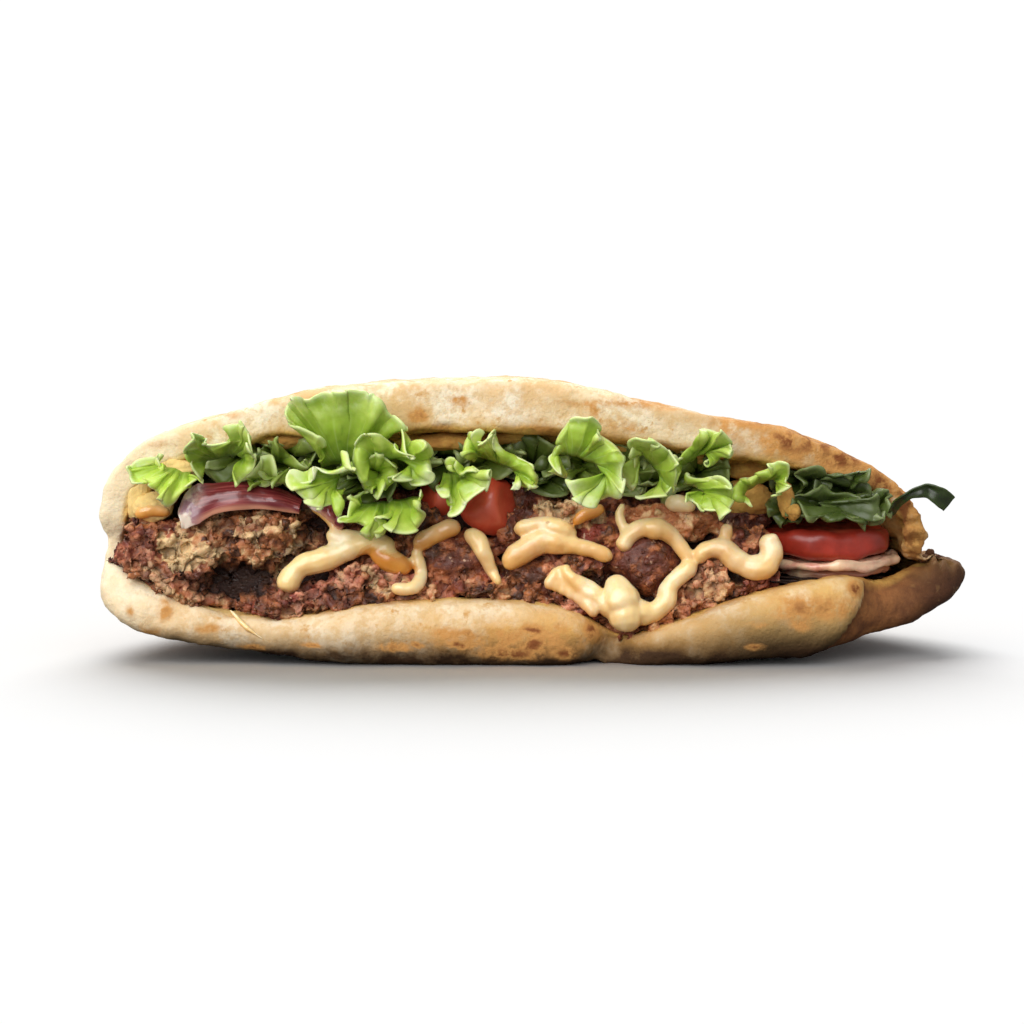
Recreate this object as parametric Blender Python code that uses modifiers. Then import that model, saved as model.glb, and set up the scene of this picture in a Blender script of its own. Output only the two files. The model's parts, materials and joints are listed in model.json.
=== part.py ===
"""Doner kebab sandwich half: a flatbread pocket filled with meat, sauce, tomato, onion and lettuce.

The open mouth of the pocket faces -Y, its length runs along X, and it rests on Z = 0.
Sizes below are in millimetres; every mesh is made in metres.
"""

import math

import bmesh
import bpy
import numpy as np
from mathutils import Matrix, Vector, noise
from mathutils.bvhtree import BVHTree

MM = 0.001

# The pocket: half of a round flatbread, 250 mm across.
POCKET_DEPTH = 110.0
BACK_WALL = 13.0
SIDE_WALL = 9.0
MOUTH_Y = -38.0
POLE_X = 0.0
POLE_Z = 30.0
TOP_FALL = 0.30
DOUGH_BUMP = 2.4
RIM_STEPS = 2
OUTER_RINGS = 8
LIP_RINGS = 4
TOP_LIP_FLAT = 0.6
BOTTOM_LIP_FLAT = 0.85
INNER_RINGS = 5
LAST_RING = math.radians(84.0)
TIP_FROM_X = 117.0
TIP_FADES = math.radians(35.0)
CAVITY_OPENS = math.radians(14.0)
CLEARANCE = 0.4

# Round the mouth, clockwise from the left end: outer x, outer z, inner x, inner z, y.
RIM = (
    (-124.6, 33.0, -120.8, 32.0, -35),
    (-126.2, 42.0, -118.6, 40.5, -37),
    (-123.4, 53.0, -115.6, 50.0, -38),
    (-113.0, 63.4, -107.4, 56.6, -39),
    (-97.0, 69.5, -93.5, 60.6, -41),
    (-82.0, 73.8, -80.0, 63.0, -42),
    (-66.0, 78.4, -64.0, 64.4, -42),
    (-42.0, 80.9, -41.0, 66.2, -42),
    (-14.0, 82.0, -14.0, 66.8, -42),
    (8.0, 80.8, 8.0, 66.2, -42),
    (28.0, 76.4, 27.0, 63.8, -42),
    (50.0, 71.4, 49.0, 60.4, -41),
    (70.0, 68.0, 68.0, 57.6, -40),
    (88.6, 61.4, 85.4, 54.2, -38),
    (103.0, 53.0, 98.0, 49.6, -35),
    (111.8, 44.5, 106.0, 43.0, -32),
    (116.2, 35.5, 109.8, 35.0, -30),
    (115.4, 28.6, 110.6, 29.2, -27),
    (128.6, 25.6, 118.5, 26.6, -22),
    (125.2, 16.5, 113.0, 25.8, -26),
    (107.0, 8.3, 102.0, 22.4, -34),
    (86.0, 3.8, 87.0, 25.0, -46),
    (63.0, 1.2, 64.0, 20.5, -49),
    (40.0, -0.6, 41.0, 12.4, -49),
    (23.0, -1.2, 25.5, 8.4, -48),
    (5.0, -1.4, 8.0, 16.6, -48),
    (-22.0, -1.2, -20.0, 18.8, -48),
    (-50.0, -0.4, -48.0, 17.0, -48),
    (-76.0, 2.4, -72.0, 13.2, -47),
    (-97.0, 5.4, -91.0, 15.0, -45),
    (-114.0, 8.6, -107.5, 20.4, -43),
    (-124.2, 14.6, -117.0, 25.4, -40),
    (-126.4, 24.0, -120.0, 29.0, -37),
)
CREASE_X = 22.0
CREASE_WIDTH = 4.5
CREASE_DEPTH = 4.0

# The meat fills the pocket up to these heights at these places along X.
CORE_TOP = ((-112, 30), (-98, 37), (-75, 42), (40, 43), (58, 34), (68, 23), (112, 22))
CORE_RINGS = 5
CORE_INSET = 3.0
CORE_FRONT = 5.0

# Meat pieces that show: x, z, half width, half height.
PIECES = (
    (-110.0, 37.2, 7.6, 5.0),
    (-114.6, 31.4, 7.6, 4.8),
    (-94.4, 34.6, 8.6, 9.0),
    (-75.5, 34.5, 15.0, 10.0),
    (-102.6, 24.6, 9.0, 4.2),
    (-86.5, 23.4, 11.0, 5.5),
    (-77.5, 18.4, 6.5, 3.6),
    (-66.0, 18.6, 8.0, 4.2),
    (-52.0, 33.0, 12.0, 8.0),
    (-46.0, 22.6, 14.0, 5.4),
    (-23.0, 29.0, 13.5, 9.4),
    (-30.0, 39.0, 10.0, 4.6),
    (-3.5, 36.0, 9.0, 7.6),
    (-1.4, 25.6, 8.0, 5.8),
    (12.9, 28.4, 11.0, 6.4),
    (9.6, 41.6, 9.6, 4.4),
    (20.0, 36.0, 9.0, 6.4),
    (33.9, 28.4, 12.0, 10.0),
    (39.7, 39.6, 14.5, 6.6),
    (54.3, 23.6, 11.5, 5.4),
    (58.0, 33.0, 9.0, 6.0),
)
PIECE_DEPTH = 9.0
PIECE_ROUGH = 0.22
HEAP_VOXEL = 1.1
HEAP_TRIANGLES = 4150
LARGE_PIECE = 10.5

# Sauce drizzled from a bottle: each strand's half thickness and its x, z route.
SAUCE = (
    (3.1, ((-72.4, 20.9), (-70.6, 24.2), (-66.1, 27.6), (-58.6, 30.6), (-51.2, 32.2), (-44.0, 32.6),
           (-38.4, 31.2), (-34.6, 28.0), (-36.6, 25.0))),
    (3.0, ((-60.8, 36.4), (-54.8, 34.8), (-49.3, 34.0), (-44.5, 33.0))),
    (2.5, ((-38.6, 21.6), (-34.0, 22.6), (-31.6, 26.4), (-34.0, 32.6), (-29.6, 36.8), (-24.0, 38.6))),
    (2.7, ((-19.4, 37.6), (-14.8, 35.0), (-12.6, 30.0), (-11.2, 25.4), (-9.8, 22.8))),
    (3.1, ((-9.4, 28.6), (-5.2, 31.8), (0.2, 34.4), (4.6, 35.2), (10.0, 34.4), (16.8, 33.2), (21.4, 31.6))),
    (2.7, ((-5.4, 38.4), (-1.6, 40.2), (4.0, 39.0), (8.0, 38.6))),
    (2.9, ((24.0, 34.4), (27.2, 37.2), (31.6, 39.0), (37.2, 38.6), (42.0, 36.0), (44.6, 32.4))),
    (3.2, ((46.4, 30.0), (50.2, 32.6), (54.2, 32.6), (57.8, 29.8), (62.0, 28.6), (66.2, 30.2), (67.6, 35.4))),
    (3.3, ((44.6, 28.4), (41.8, 25.6), (39.2, 22.8), (37.8, 19.4), (36.8, 15.6), (33.2, 14.8), (30.6, 17.2),
           (27.8, 20.6), (24.8, 22.8))),
    (3.8, ((24.8, 22.4), (25.2, 17.8), (25.8, 13.2), (25.6, 11.6))),
    (2.9, ((40.4, 45.2), (43.0, 45.6), (45.8, 45.0))),
    (2.0, ((55.7, 38.8), (54.9, 36.0), (53.7, 33.0))),
    (3.0, ((3.8, 20.8), (6.4, 24.2), (9.0, 26.4), (11.8, 22.6), (16.8, 18.6), (21.4, 14.8), (24.6, 12.8))),
)
SAUCE_SUNK = 0.5
SAUCE_POINT_GAP = 3.0
SAUCE_REACH = 90.0

# Tomato: a round slice lying flat at the right, and two wedges in the middle.
SLICE_X, SLICE_Y, SLICE_Z = 86.8, -23.0, 34.4
SLICE_RADIUS, SLICE_THICK = 20.3, 8.0
WEDGES = {
    "tomato_wedge_front": (-13.0, -38.0, 44.6, 9.0, 20.0),
    "tomato_wedge_back": (-27.0, -31.0, 46.4, 6.6, -15.0),
}

# Red onion: two arched strips at the left, and two slices under the round tomato slice.
ARCH_ROUTE = ((-101.8, 41.8), (-98.2, 45.2), (-91.5, 47.4), (-83.0, 48.2), (-74.5, 47.4), (-67.4, 45.0))
TAIL_ROUTE = ((-65.4, 48.0), (-60.6, 45.6), (-57.0, 42.4), (-55.2, 40.0))
ARCH_THICK = 2.8
ARCH_HEIGHT = 7.2
TAIL_HEIGHT = 5.0
ONION_SLICES = {
    "onion_slice_upper": (88.6, -22.5, 27.6, 20.6, 2.6),
    "onion_slice_lower": (89.4, -20.0, 24.5, 17.6, 2.2),
}

# Lettuce packed behind the leaves, from the meat up to the bread.
BED_X = (-101.0, 91.0)
BED_BOTTOM = 46.6
BED_UNDER_BREAD = 4.0
BED_FRONT = 18.0
BED_SIDES = 24
BED_RINGS = 4
BED_DEPTH = 72.0

# Lettuce leaves: root x from, x to, y, z; then the tips x, y, z round the frilled edge.
LEAVES = {
    "lettuce_far_left": ((-104.5, -101.5), -33, 54.0, (
        (-110.0, -48, 58.0), (-116.0, -50, 60.6), (-119.2, -55, 57.6), (-118.3, -51, 53.4), (-114.2, -56, 50.2),
        (-111.2, -52, 50.4), (-107.8, -57, 47.0), (-104.2, -52, 44.8), (-101.0, -55, 48.0), (-99.6, -51, 52.4))),
    "lettuce_left": ((-90.0, -85.0), -28, 56.6, (
        (-97.6, -50, 55.4), (-101.0, -54, 59.8), (-98.6, -60, 64.4), (-94.6, -57, 65.2), (-93.0, -52, 63.0),
        (-88.4, -58, 65.6), (-85.6, -61, 69.2), (-82.6, -57, 70.2), (-79.8, -61, 67.0), (-78.6, -57, 62.4),
        (-77.8, -62, 58.4), (-80.4, -57, 55.6), (-85.4, -60, 52.6))),
    "lettuce_left_inner": ((-73.6, -71.0), -26, 57.8, (
        (-76.4, -47, 61.4), (-72.6, -52, 64.0), (-69.6, -48, 62.6), (-67.4, -52, 59.2), (-65.0, -48, 57.2),
        (-65.2, -52, 54.2), (-68.2, -47, 52.4), (-71.2, -53, 51.4), (-75.4, -49, 54.2), (-78.2, -52, 54.0))),
    "lettuce_tall": ((-58.0, -53.0), -46, 55.0, (
        (-60.8, -53, 61.4), (-62.6, -57, 65.6), (-69.8, -59, 69.4), (-71.0, -55, 73.8), (-68.8, -60, 77.2),
        (-63.2, -55, 77.8), (-55.2, -60, 79.4), (-47.6, -56, 78.2), (-43.4, -60, 76.2), (-40.6, -55, 73.4),
        (-37.8, -58, 70.8), (-39.8, -53, 67.8))),
    "lettuce_hanging": ((-59.4, -57.0), -48, 51.4, (
        (-53.4, -60, 60.6), (-55.8, -63, 56.0), (-60.4, -57, 54.8), (-66.4, -62, 53.6), (-67.8, -58, 51.0),
        (-64.6, -62, 47.6), (-59.4, -57, 47.0), (-56.8, -61, 44.8), (-54.2, -56, 49.6))),
    "lettuce_middle": ((-43.6, -39.0), -43, 54.6, (
        (-48.6, -58, 54.6), (-50.6, -62, 61.0), (-49.4, -59, 65.6), (-44.8, -64, 66.8), (-41.0, -60, 65.4),
        (-38.6, -62, 62.6), (-34.8, -56, 65.4), (-31.6, -60, 65.4), (-29.2, -56, 61.0), (-29.2, -61, 56.0),
        (-32.4, -56, 53.4), (-37.2, -61, 52.4), (-42.4, -56, 53.2))),
    "lettuce_middle_low": ((-42.4, -38.6), -34, 49.8, (
        (-49.2, -52, 48.6), (-53.4, -57, 43.0), (-54.6, -61, 40.4), (-49.8, -56, 40.0), (-45.6, -61, 37.2),
        (-42.4, -58, 36.8), (-43.2, -55, 41.4), (-39.6, -60, 39.8), (-35.4, -62, 39.2), (-31.8, -58, 41.6),
        (-30.6, -62, 44.6), (-31.8, -56, 49.0))),
    "lettuce_middle_right": ((-27.4, -24.2), -34, 53.8, (
        (-28.4, -55, 50.8), (-24.4, -60, 49.4), (-22.0, -56, 46.8), (-21.2, -61, 43.8), (-18.4, -56, 48.0),
        (-14.8, -60, 51.8), (-13.8, -56, 55.4), (-17.6, -61, 55.8), (-21.0, -56, 56.8), (-22.4, -60, 59.6),
        (-25.6, -54, 57.4))),
    "lettuce_centre": ((-10.0, -6.0), -26, 57.6, (
        (-16.6, -48, 56.6), (-20.4, -53, 59.0), (-21.4, -49, 63.6), (-19.2, -54, 66.0), (-16.4, -50, 64.0),
        (-13.4, -54, 64.0), (-10.0, -49, 66.6), (-7.8, -54, 63.0), (-4.4, -50, 60.2), (-0.4, -55, 58.4),
        (1.6, -50, 54.0), (-0.6, -55, 51.2), (-4.2, -50, 51.4), (-8.2, -54, 53.0))),
    "lettuce_right": ((14.0, 18.0), -28, 58.4, (
        (8.6, -50, 54.4), (4.2, -56, 56.6), (3.4, -52, 61.2), (7.2, -58, 66.8), (9.6, -54, 70.0),
        (13.0, -60, 71.0), (17.2, -56, 69.4), (20.0, -60, 65.6), (23.4, -56, 63.4), (26.2, -61, 59.4),
        (24.8, -57, 54.2), (23.2, -62, 50.2), (20.6, -57, 49.6), (17.6, -61, 47.0), (13.8, -56, 48.4),
        (11.6, -60, 51.6))),
    "lettuce_cups": ((32.6, 36.0), -28, 55.4, (
        (28.8, -50, 52.0), (27.6, -55, 56.4), (30.0, -51, 62.4), (28.6, -56, 66.4), (31.4, -60, 67.4),
        (34.0, -55, 64.6), (36.8, -60, 62.4), (39.0, -55, 59.2), (39.4, -61, 55.6), (38.0, -55, 49.8),
        (34.0, -60, 47.8), (30.4, -55, 48.6))),
    "lettuce_right_high": ((43.0, 46.0), -34, 54.6, (
        (41.4, -50, 54.6), (40.8, -55, 58.4), (43.8, -52, 63.2), (47.0, -57, 66.6), (50.0, -53, 67.4),
        (53.8, -59, 66.2), (56.2, -55, 63.0), (54.4, -60, 60.4), (51.0, -55, 59.8), (48.2, -58, 58.0))),
    "lettuce_right_low": ((42.6, 45.4), -32, 51.2, (
        (45.6, -50, 53.6), (49.4, -55, 54.0), (53.4, -59, 53.8), (56.6, -55, 50.2), (55.6, -60, 46.8),
        (53.6, -55, 44.6), (48.4, -59, 45.2), (44.0, -54, 47.4), (41.6, -57, 49.0))),
    "lettuce_small_frill": ((64.4, 68.0), -32, 51.4, (
        (61.8, -48, 47.2), (57.8, -53, 48.0), (58.6, -49, 52.0), (62.2, -54, 53.6), (68.0, -50, 55.8),
        (72.0, -55, 57.8), (73.6, -51, 54.2), (70.4, -55, 50.0), (67.4, -50, 48.8))),
    "lettuce_dark_upper": ((83.0, 87.0), -26, 49.8, (
        (77.0, -40, 48.4), (78.8, -46, 51.4), (76.0, -42, 54.4), (80.6, -47, 56.0), (87.2, -43, 54.4),
        (92.0, -48, 55.2), (96.6, -44, 55.4), (95.2, -48, 53.0), (92.0, -43, 49.8))),
    "lettuce_dark_lower": ((86.4, 90.4), -30, 44.8, (
        (92.6, -43, 47.4), (98.6, -48, 47.8), (100.2, -44, 46.4), (101.0, -48, 40.2), (98.8, -44, 41.4),
        (94.8, -49, 40.0), (90.2, -45, 41.2), (85.2, -49, 40.8), (81.8, -45, 42.4), (78.6, -49, 42.2),
        (76.6, -44, 45.2))),
}
LEAF_THICK = 0.8
LEAF_ALONG = 2
LEAF_ACROSS = 3

# A stray strip of leaf at the right end: its route x, y, z and its width along it.
STRAY_ROUTE = (
    (103.6, -44, 42.6), (104.6, -50, 46.4), (107.4, -53, 49.0), (110.6, -54, 50.2), (113.6, -54, 50.0),
    (116.4, -54, 48.4), (118.8, -53, 46.4),
)
STRAY_WIDTH = (2.4, 3.2, 2.4, 3.4, 4.8, 5.6, 5.4)

COLOURS = {
    "bread": (0.80, 0.62, 0.38, 0.75),
    "meat": (0.20, 0.085, 0.05, 0.6),
    "tomato": (0.52, 0.05, 0.03, 0.3),
    "onion": (0.34, 0.09, 0.13, 0.35),
    "lettuce": (0.24, 0.45, 0.07, 0.45),
}


def clear_scene():
    for obj in list(bpy.data.objects):
        bpy.data.objects.remove(obj, do_unlink=True)


def new_collection(name):
    made = bpy.data.collections.new(name)
    bpy.context.scene.collection.children.link(made)
    return made


def finish_of(name):
    """The material of that name, made once."""
    found = bpy.data.materials.get(name)
    if found:
        return found
    red, green, blue, roughness = COLOURS[name]
    made = bpy.data.materials.new(name)
    made.use_nodes = True
    shader = made.node_tree.nodes["Principled BSDF"]
    shader.inputs["Base Color"].default_value = (red, green, blue, 1.0)
    shader.inputs["Roughness"].default_value = roughness
    shader.inputs["Metallic"].default_value = 0.0
    return made


def object_of(name, bm, collection, finish):
    """A smooth-shaded object made from bm, whose points are in millimetres."""
    bmesh.ops.recalc_face_normals(bm, faces=bm.faces)
    bmesh.ops.scale(bm, vec=(MM, MM, MM), verts=bm.verts)
    mesh = bpy.data.meshes.new(name)
    bm.to_mesh(mesh)
    bm.free()
    mesh.shade_smooth()
    made = bpy.data.objects.new(name, mesh)
    made.data.materials.append(finish_of(finish))
    collection.objects.link(made)
    return made


def catmull_rom(a, b, c, d, s):
    return 0.5 * (2 * b + (c - a) * s + (2 * a - 5 * b + 4 * c - d) * s * s + (3 * b - a - 3 * c + d) * s**3)


def closed_spline(points, steps):
    """Points on a smooth closed curve through the given ones, steps to each gap."""
    p = np.array(points, float)
    n = len(p)
    return np.array(
        [catmull_rom(p[i - 1], p[i], p[(i + 1) % n], p[(i + 2) % n], k / steps) for i in range(n) for k in range(steps)]
    )


def open_spline(points, at):
    """The point at share at (0 to 1) along a smooth curve through the given points."""
    p = np.array(points, float)
    place = min(max(at, 0.0), 1.0) * (len(p) - 1)
    i = min(int(place), len(p) - 2)
    before = p[i - 1] if i > 0 else 2 * p[0] - p[1]
    after = p[i + 2] if i + 2 < len(p) else 2 * p[-1] - p[-2]
    return catmull_rom(before, p[i], p[i + 1], after, place - i)


def smooth(value, low, high):
    s = np.clip((value - low) / (high - low), 0.0, 1.0)
    return s * s * (3 - 2 * s)


def pocket_ring(loop, y, angle, depth):
    """A loop of the mouth (x, z) carried back into the pocket: angle 0 is the mouth, 90 degrees the back."""
    tip = np.clip(loop[:, 0] - TIP_FROM_X, 0.0, None) * smooth(angle, 0.0, TIP_FADES)
    turned = math.sin(angle)
    upper = (1 - turned**3.2) ** (1 / 2.4) * (1 - TOP_FALL * turned**2)
    lower = (1 - turned**5) ** (1 / 2.5)
    x = POLE_X + (loop[:, 0] - tip - POLE_X) * math.cos(angle)
    rise = loop[:, 1] - POLE_Z
    z = POLE_Z + rise * np.where(rise > 0, upper, lower)
    back = MOUTH_Y + (y - MOUTH_Y) * math.cos(angle) ** 2 + depth * turned
    return np.column_stack([x, back, z])


def unevenness(points, size, height):
    """Slow bumps, as hand-shaped dough has: one height for each point."""
    return np.array([noise.noise(Vector(p) / size) * height for p in points])


def pushed_out(ring, height):
    """The ring moved away from the pocket's long axis by height, point by point."""
    away = ring[:, [0, 2]] - (POLE_X, POLE_Z)
    away[:, 0] *= 0.25
    away /= np.linalg.norm(away, axis=1)[:, None] + 1e-6
    moved = ring.copy()
    moved[:, [0, 2]] += away * height[:, None]
    return moved


def rim_loops(grow=0.0):
    """The rim's outer loop, inner loop and y, with the bread grown by a clearance all over."""
    rim = closed_spline(RIM, RIM_STEPS)
    outer, inner, y = rim[:, 0:2], rim[:, 2:4], rim[:, 4]
    if grow:
        across = outer - inner
        across /= np.linalg.norm(across, axis=1)[:, None]
        outer = outer + across * grow
        inner = inner - across * grow
    return outer, inner, y


def bread_rings(grow=0.0):
    """Every ring of the pocket's wall, from the back over the outside, round the lip and into the inside."""
    outer, inner, y = rim_loops(grow)
    gap = np.linalg.norm(outer - inner, axis=1)
    rings = []
    for i in range(OUTER_RINGS, -1, -1):
        angle = LAST_RING * i / OUTER_RINGS
        ring = pocket_ring(outer, y, angle, POCKET_DEPTH + grow)
        bumps = unevenness(ring, 34.0, DOUGH_BUMP) * np.where(ring[:, 2] > POLE_Z, 1.0, 0.3)
        ring = pushed_out(ring, bumps * math.sin(2 * angle))
        rings.append(ring)
    crease = CREASE_DEPTH * np.exp(-(((outer[:, 0] - CREASE_X) / CREASE_WIDTH) ** 2)) * (outer[:, 1] < POLE_Z)
    bulge = np.clip(gap * 0.55, 3.4, 9.0) + grow - crease
    flat = np.where(outer[:, 1] > POLE_Z, TOP_LIP_FLAT, BOTTOM_LIP_FLAT)
    for i in range(1, LIP_RINGS + 1):
        turn = math.pi * i / (LIP_RINGS + 1)
        across = math.copysign(1.0, math.cos(turn)) * abs(math.cos(turn)) ** flat
        share = ((1 + across) / 2)[:, None]
        loop = outer * share + inner * (1 - share)
        rings.append(np.column_stack([loop[:, 0], y - bulge * math.sin(turn) ** flat, loop[:, 1]]))
    wall = np.minimum(1.0, SIDE_WALL / gap)[:, None]
    cavity = outer + (inner - outer) * wall
    for i in range(INNER_RINGS + 1):
        angle = LAST_RING * i / INNER_RINGS
        loop = inner + (cavity - inner) * smooth(angle, 0.0, CAVITY_OPENS)
        rings.append(pocket_ring(loop, y, angle, POCKET_DEPTH - BACK_WALL - grow))
    return rings


def loft(rings, first, last):
    """A closed mesh through rings of equal length, drawn to a point before the first and after the last."""
    bm = bmesh.new()
    rows = [[bm.verts.new(p) for p in ring] for ring in rings]
    for a, b in zip(rows, rows[1:]):
        for k in range(len(a)):
            j = (k + 1) % len(a)
            bm.faces.new((a[k], a[j], b[j], b[k]))
    for tip, row in ((first, rows[0]), (last, rows[-1])):
        point = bm.verts.new(tip)
        for k in range(len(row)):
            bm.faces.new((point, row[k], row[(k + 1) % len(row)]))
    return bm


def bread_mesh(grow=0.0):
    rings = bread_rings(grow)
    outer_pole = (POLE_X, MOUTH_Y + POCKET_DEPTH + grow, POLE_Z)
    inner_pole = (POLE_X, MOUTH_Y + POCKET_DEPTH - BACK_WALL - grow, POLE_Z)
    bm = loft(rings, outer_pole, inner_pole)
    for vert in bm.verts:
        vert.co.z = max(vert.co.z, -grow)
    return bm


def make_bread(collection):
    return object_of("bread", bread_mesh(), collection, "bread")


def height_at(x, table):
    return float(np.interp(x, [row[0] for row in table], [row[1] for row in table]))


def meat_core(collection):
    """The packed meat behind the pieces that show, out to the pocket's inside."""
    _, inner, y = rim_loops()
    inner, y = inner[::RIM_STEPS], y[::RIM_STEPS]
    centre = np.array([POLE_X, POLE_Z])
    inward = centre - inner
    inward[:, 0] = np.clip(inward[:, 0], -6, 6)
    inward /= np.linalg.norm(inward, axis=1)[:, None]
    loop = inner + inward * CORE_INSET
    loop[:, 1] = np.minimum(loop[:, 1], [height_at(x, CORE_TOP) for x in loop[:, 0]])
    rings = []
    for i in range(CORE_RINGS + 1):
        angle = math.radians(72.0) * i / CORE_RINGS
        rings.append(pocket_ring(loop, y + CORE_FRONT, angle, POCKET_DEPTH - BACK_WALL - CORE_INSET - CORE_FRONT))
    front = (POLE_X, float(y.mean()) + CORE_FRONT, float(loop[:, 1].mean()))
    back = (POLE_X, float(rings[-1][:, 1].max()) + 2.0, POLE_Z)
    return object_of("doner_meat", loft(rings, front, back), collection, "meat")


def front_of_piece(z):
    """How far forward the meat comes at a height: most at the bottom, less towards the top."""
    return -51.5 + 0.22 * max(0.0, z - 18.0)


def meat_piece(index, piece, collection):
    """One torn, rough piece of meat: a ball pulled out of shape by noise."""
    x, z, half_x, half_z = piece
    bm = bmesh.new()
    bmesh.ops.create_icosphere(bm, subdivisions=3 if half_x > LARGE_PIECE else 2, radius=1.0)
    apart = Vector((index * 7.3, index * 3.1, index * 5.7))
    for vert in bm.verts:
        bump = noise.noise(vert.co * 1.5 + apart) + 0.5 * noise.noise(vert.co * 3.4 + apart)
        vert.co *= 1 + PIECE_ROUGH * bump
    centre = Vector((x, front_of_piece(z) + PIECE_DEPTH, z))
    stretch = Matrix.Diagonal((half_x, PIECE_DEPTH, half_z, 1.0))
    bmesh.ops.transform(bm, matrix=Matrix.Translation(centre) @ stretch, verts=bm.verts)
    return object_of(f"meat_piece_{index}", bm, collection, "meat")


def tree_of(objects):
    """A search tree over the evaluated faces of several objects, in metres."""
    points, faces = [], []
    graph = bpy.context.evaluated_depsgraph_get()
    for obj in objects:
        mesh = obj.evaluated_get(graph).to_mesh()
        first = len(points)
        points += [obj.matrix_world @ v.co for v in mesh.vertices]
        faces += [[first + i for i in f.vertices] for f in mesh.polygons]
    return BVHTree.FromPolygons(points, faces)


def laid_on_front(tree, x, z, radius):
    """Where a strand of that radius lies when it is laid on the heap from the front."""
    hit = tree.ray_cast(Vector((x * MM, -SAUCE_REACH * MM, z * MM)), Vector((0, 1, 0)))[0]
    y = hit.y / MM if hit else front_of_piece(z)
    return min(y, front_of_piece(z) + 3.0) - radius * (1 - SAUCE_SUNK)


def sauce_strand(index, strand, tree, collection):
    """A round strand of thick sauce along its route, as a tube whose ends are closed."""
    radius, route = strand
    length = sum(math.dist(a, b) for a, b in zip(route, route[1:]))
    count = max(4, round(length / SAUCE_POINT_GAP))
    places = [open_spline(route, k / count) for k in range(count + 1)]
    depths = [laid_on_front(tree, x, z, radius) for x, z in places]
    level = [np.mean(depths[max(0, k - 1) : k + 2]) for k in range(count + 1)]
    curve = bpy.data.curves.new(f"sauce_{index}", "CURVE")
    curve.dimensions = "3D"
    curve.bevel_depth = radius * MM
    curve.bevel_resolution = 1
    curve.use_fill_caps = True
    spline = curve.splines.new("POLY")
    spline.points.add(count)
    for k, ((x, z), y) in enumerate(zip(places, level)):
        spline.points[k].co = (x * MM, y * MM, z * MM, 1.0)
        spline.points[k].radius = 0.72 if k in (0, count) else 1.0
    tube = bpy.data.objects.new(f"sauce_{index}", curve)
    bpy.context.scene.collection.objects.link(tube)
    mesh = bpy.data.meshes.new_from_object(tube.evaluated_get(bpy.context.evaluated_depsgraph_get()))
    bm = bmesh.new()
    bm.from_mesh(mesh)
    bmesh.ops.remove_doubles(bm, verts=bm.verts, dist=0.02 * MM)
    bmesh.ops.scale(bm, vec=(1 / MM, 1 / MM, 1 / MM), verts=bm.verts)
    bpy.data.objects.remove(tube)
    return object_of(f"sauce_{index}", bm, collection, "meat")


def boolean(obj, operation, other, solver="EXACT"):
    """A Boolean modifier on obj, with an object or a collection."""
    modifier = obj.modifiers.new(operation.lower(), "BOOLEAN")
    modifier.operation = operation
    modifier.solver = solver
    if isinstance(other, bpy.types.Collection):
        modifier.operand_type = "COLLECTION"
        modifier.collection = other
    else:
        modifier.object = other
    return modifier


def apply_modifiers(obj):
    graph = bpy.context.evaluated_depsgraph_get()
    mesh = bpy.data.meshes.new_from_object(obj.evaluated_get(graph))
    obj.modifiers.clear()
    obj.data = mesh


def keep_largest(obj):
    """Only the largest closed surface of a mesh: hollows sealed by joining are filled, loose scrap goes."""
    bm = bmesh.new()
    bm.from_mesh(obj.data)
    left = set(bm.verts)
    shells = []
    while left:
        reached = [left.pop()]
        for vert in reached:
            for edge in vert.link_edges:
                other = edge.other_vert(vert)
                if other in left:
                    left.remove(other)
                    reached.append(other)
        shells.append(reached)
    shells.sort(key=len)
    bmesh.ops.delete(bm, geom=[v for shell in shells[:-1] for v in shell], context="VERTS")
    bm.to_mesh(obj.data)
    bm.free()


def as_cutter(obj):
    obj.hide_render = True
    obj.display_type = "WIRE"
    return obj


def make_meat(collection, cutters, cut_by):
    """The heap of meat: core, pieces and sauce strands joined, and cut clear of what touches it."""
    heap = meat_core(collection)
    joined = new_collection("joined_to_meat")
    pieces = [meat_piece(i, p, joined) for i, p in enumerate(PIECES)]
    lip = object_of("lip_under_sauce", bread_mesh(CLEARANCE), cutters, "bread")
    tree = tree_of([heap, lip, *pieces])
    for i, strand in enumerate(SAUCE):
        sauce_strand(i, strand, tree, joined)
    boolean(heap, "UNION", joined)
    evened = heap.modifiers.new("evened", "REMESH")
    evened.mode = "VOXEL"
    evened.voxel_size = HEAP_VOXEL * MM
    apply_modifiers(heap)
    keep_largest(heap)
    fewer = heap.modifiers.new("fewer", "DECIMATE")
    fewer.ratio = HEAP_TRIANGLES / (2 * len(heap.data.polygons))
    apply_modifiers(heap)
    for obj in list(joined.objects):
        bpy.data.objects.remove(obj, do_unlink=True)
    for cutter in (as_cutter(lip), *cut_by):
        boolean(heap, "DIFFERENCE", cutter, "MANIFOLD")
    apply_modifiers(heap)
    keep_largest(heap)
    heap.data.shade_smooth()
    return heap


def tomato_slice(name, collection, grow=0.0):
    """A round slice lying flat, its skin side a little full."""
    bm = bmesh.new()
    bmesh.ops.create_cone(
        bm, cap_ends=True, segments=28, radius1=SLICE_RADIUS + grow, radius2=SLICE_RADIUS + grow,
        depth=SLICE_THICK + 2 * grow,
    )
    edges = [e for e in bm.edges if abs(e.verts[0].co.z - e.verts[1].co.z) < 1e-6]
    bmesh.ops.bevel(bm, geom=edges, offset=1.4, segments=1, affect="EDGES", profile=0.5)
    tilt = Matrix.Rotation(math.radians(4.0), 4, "X")
    place = Matrix.Translation((SLICE_X, SLICE_Y, SLICE_Z)) @ tilt
    bmesh.ops.transform(bm, matrix=place, verts=bm.verts)
    return object_of(name, bm, collection, "tomato")


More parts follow.
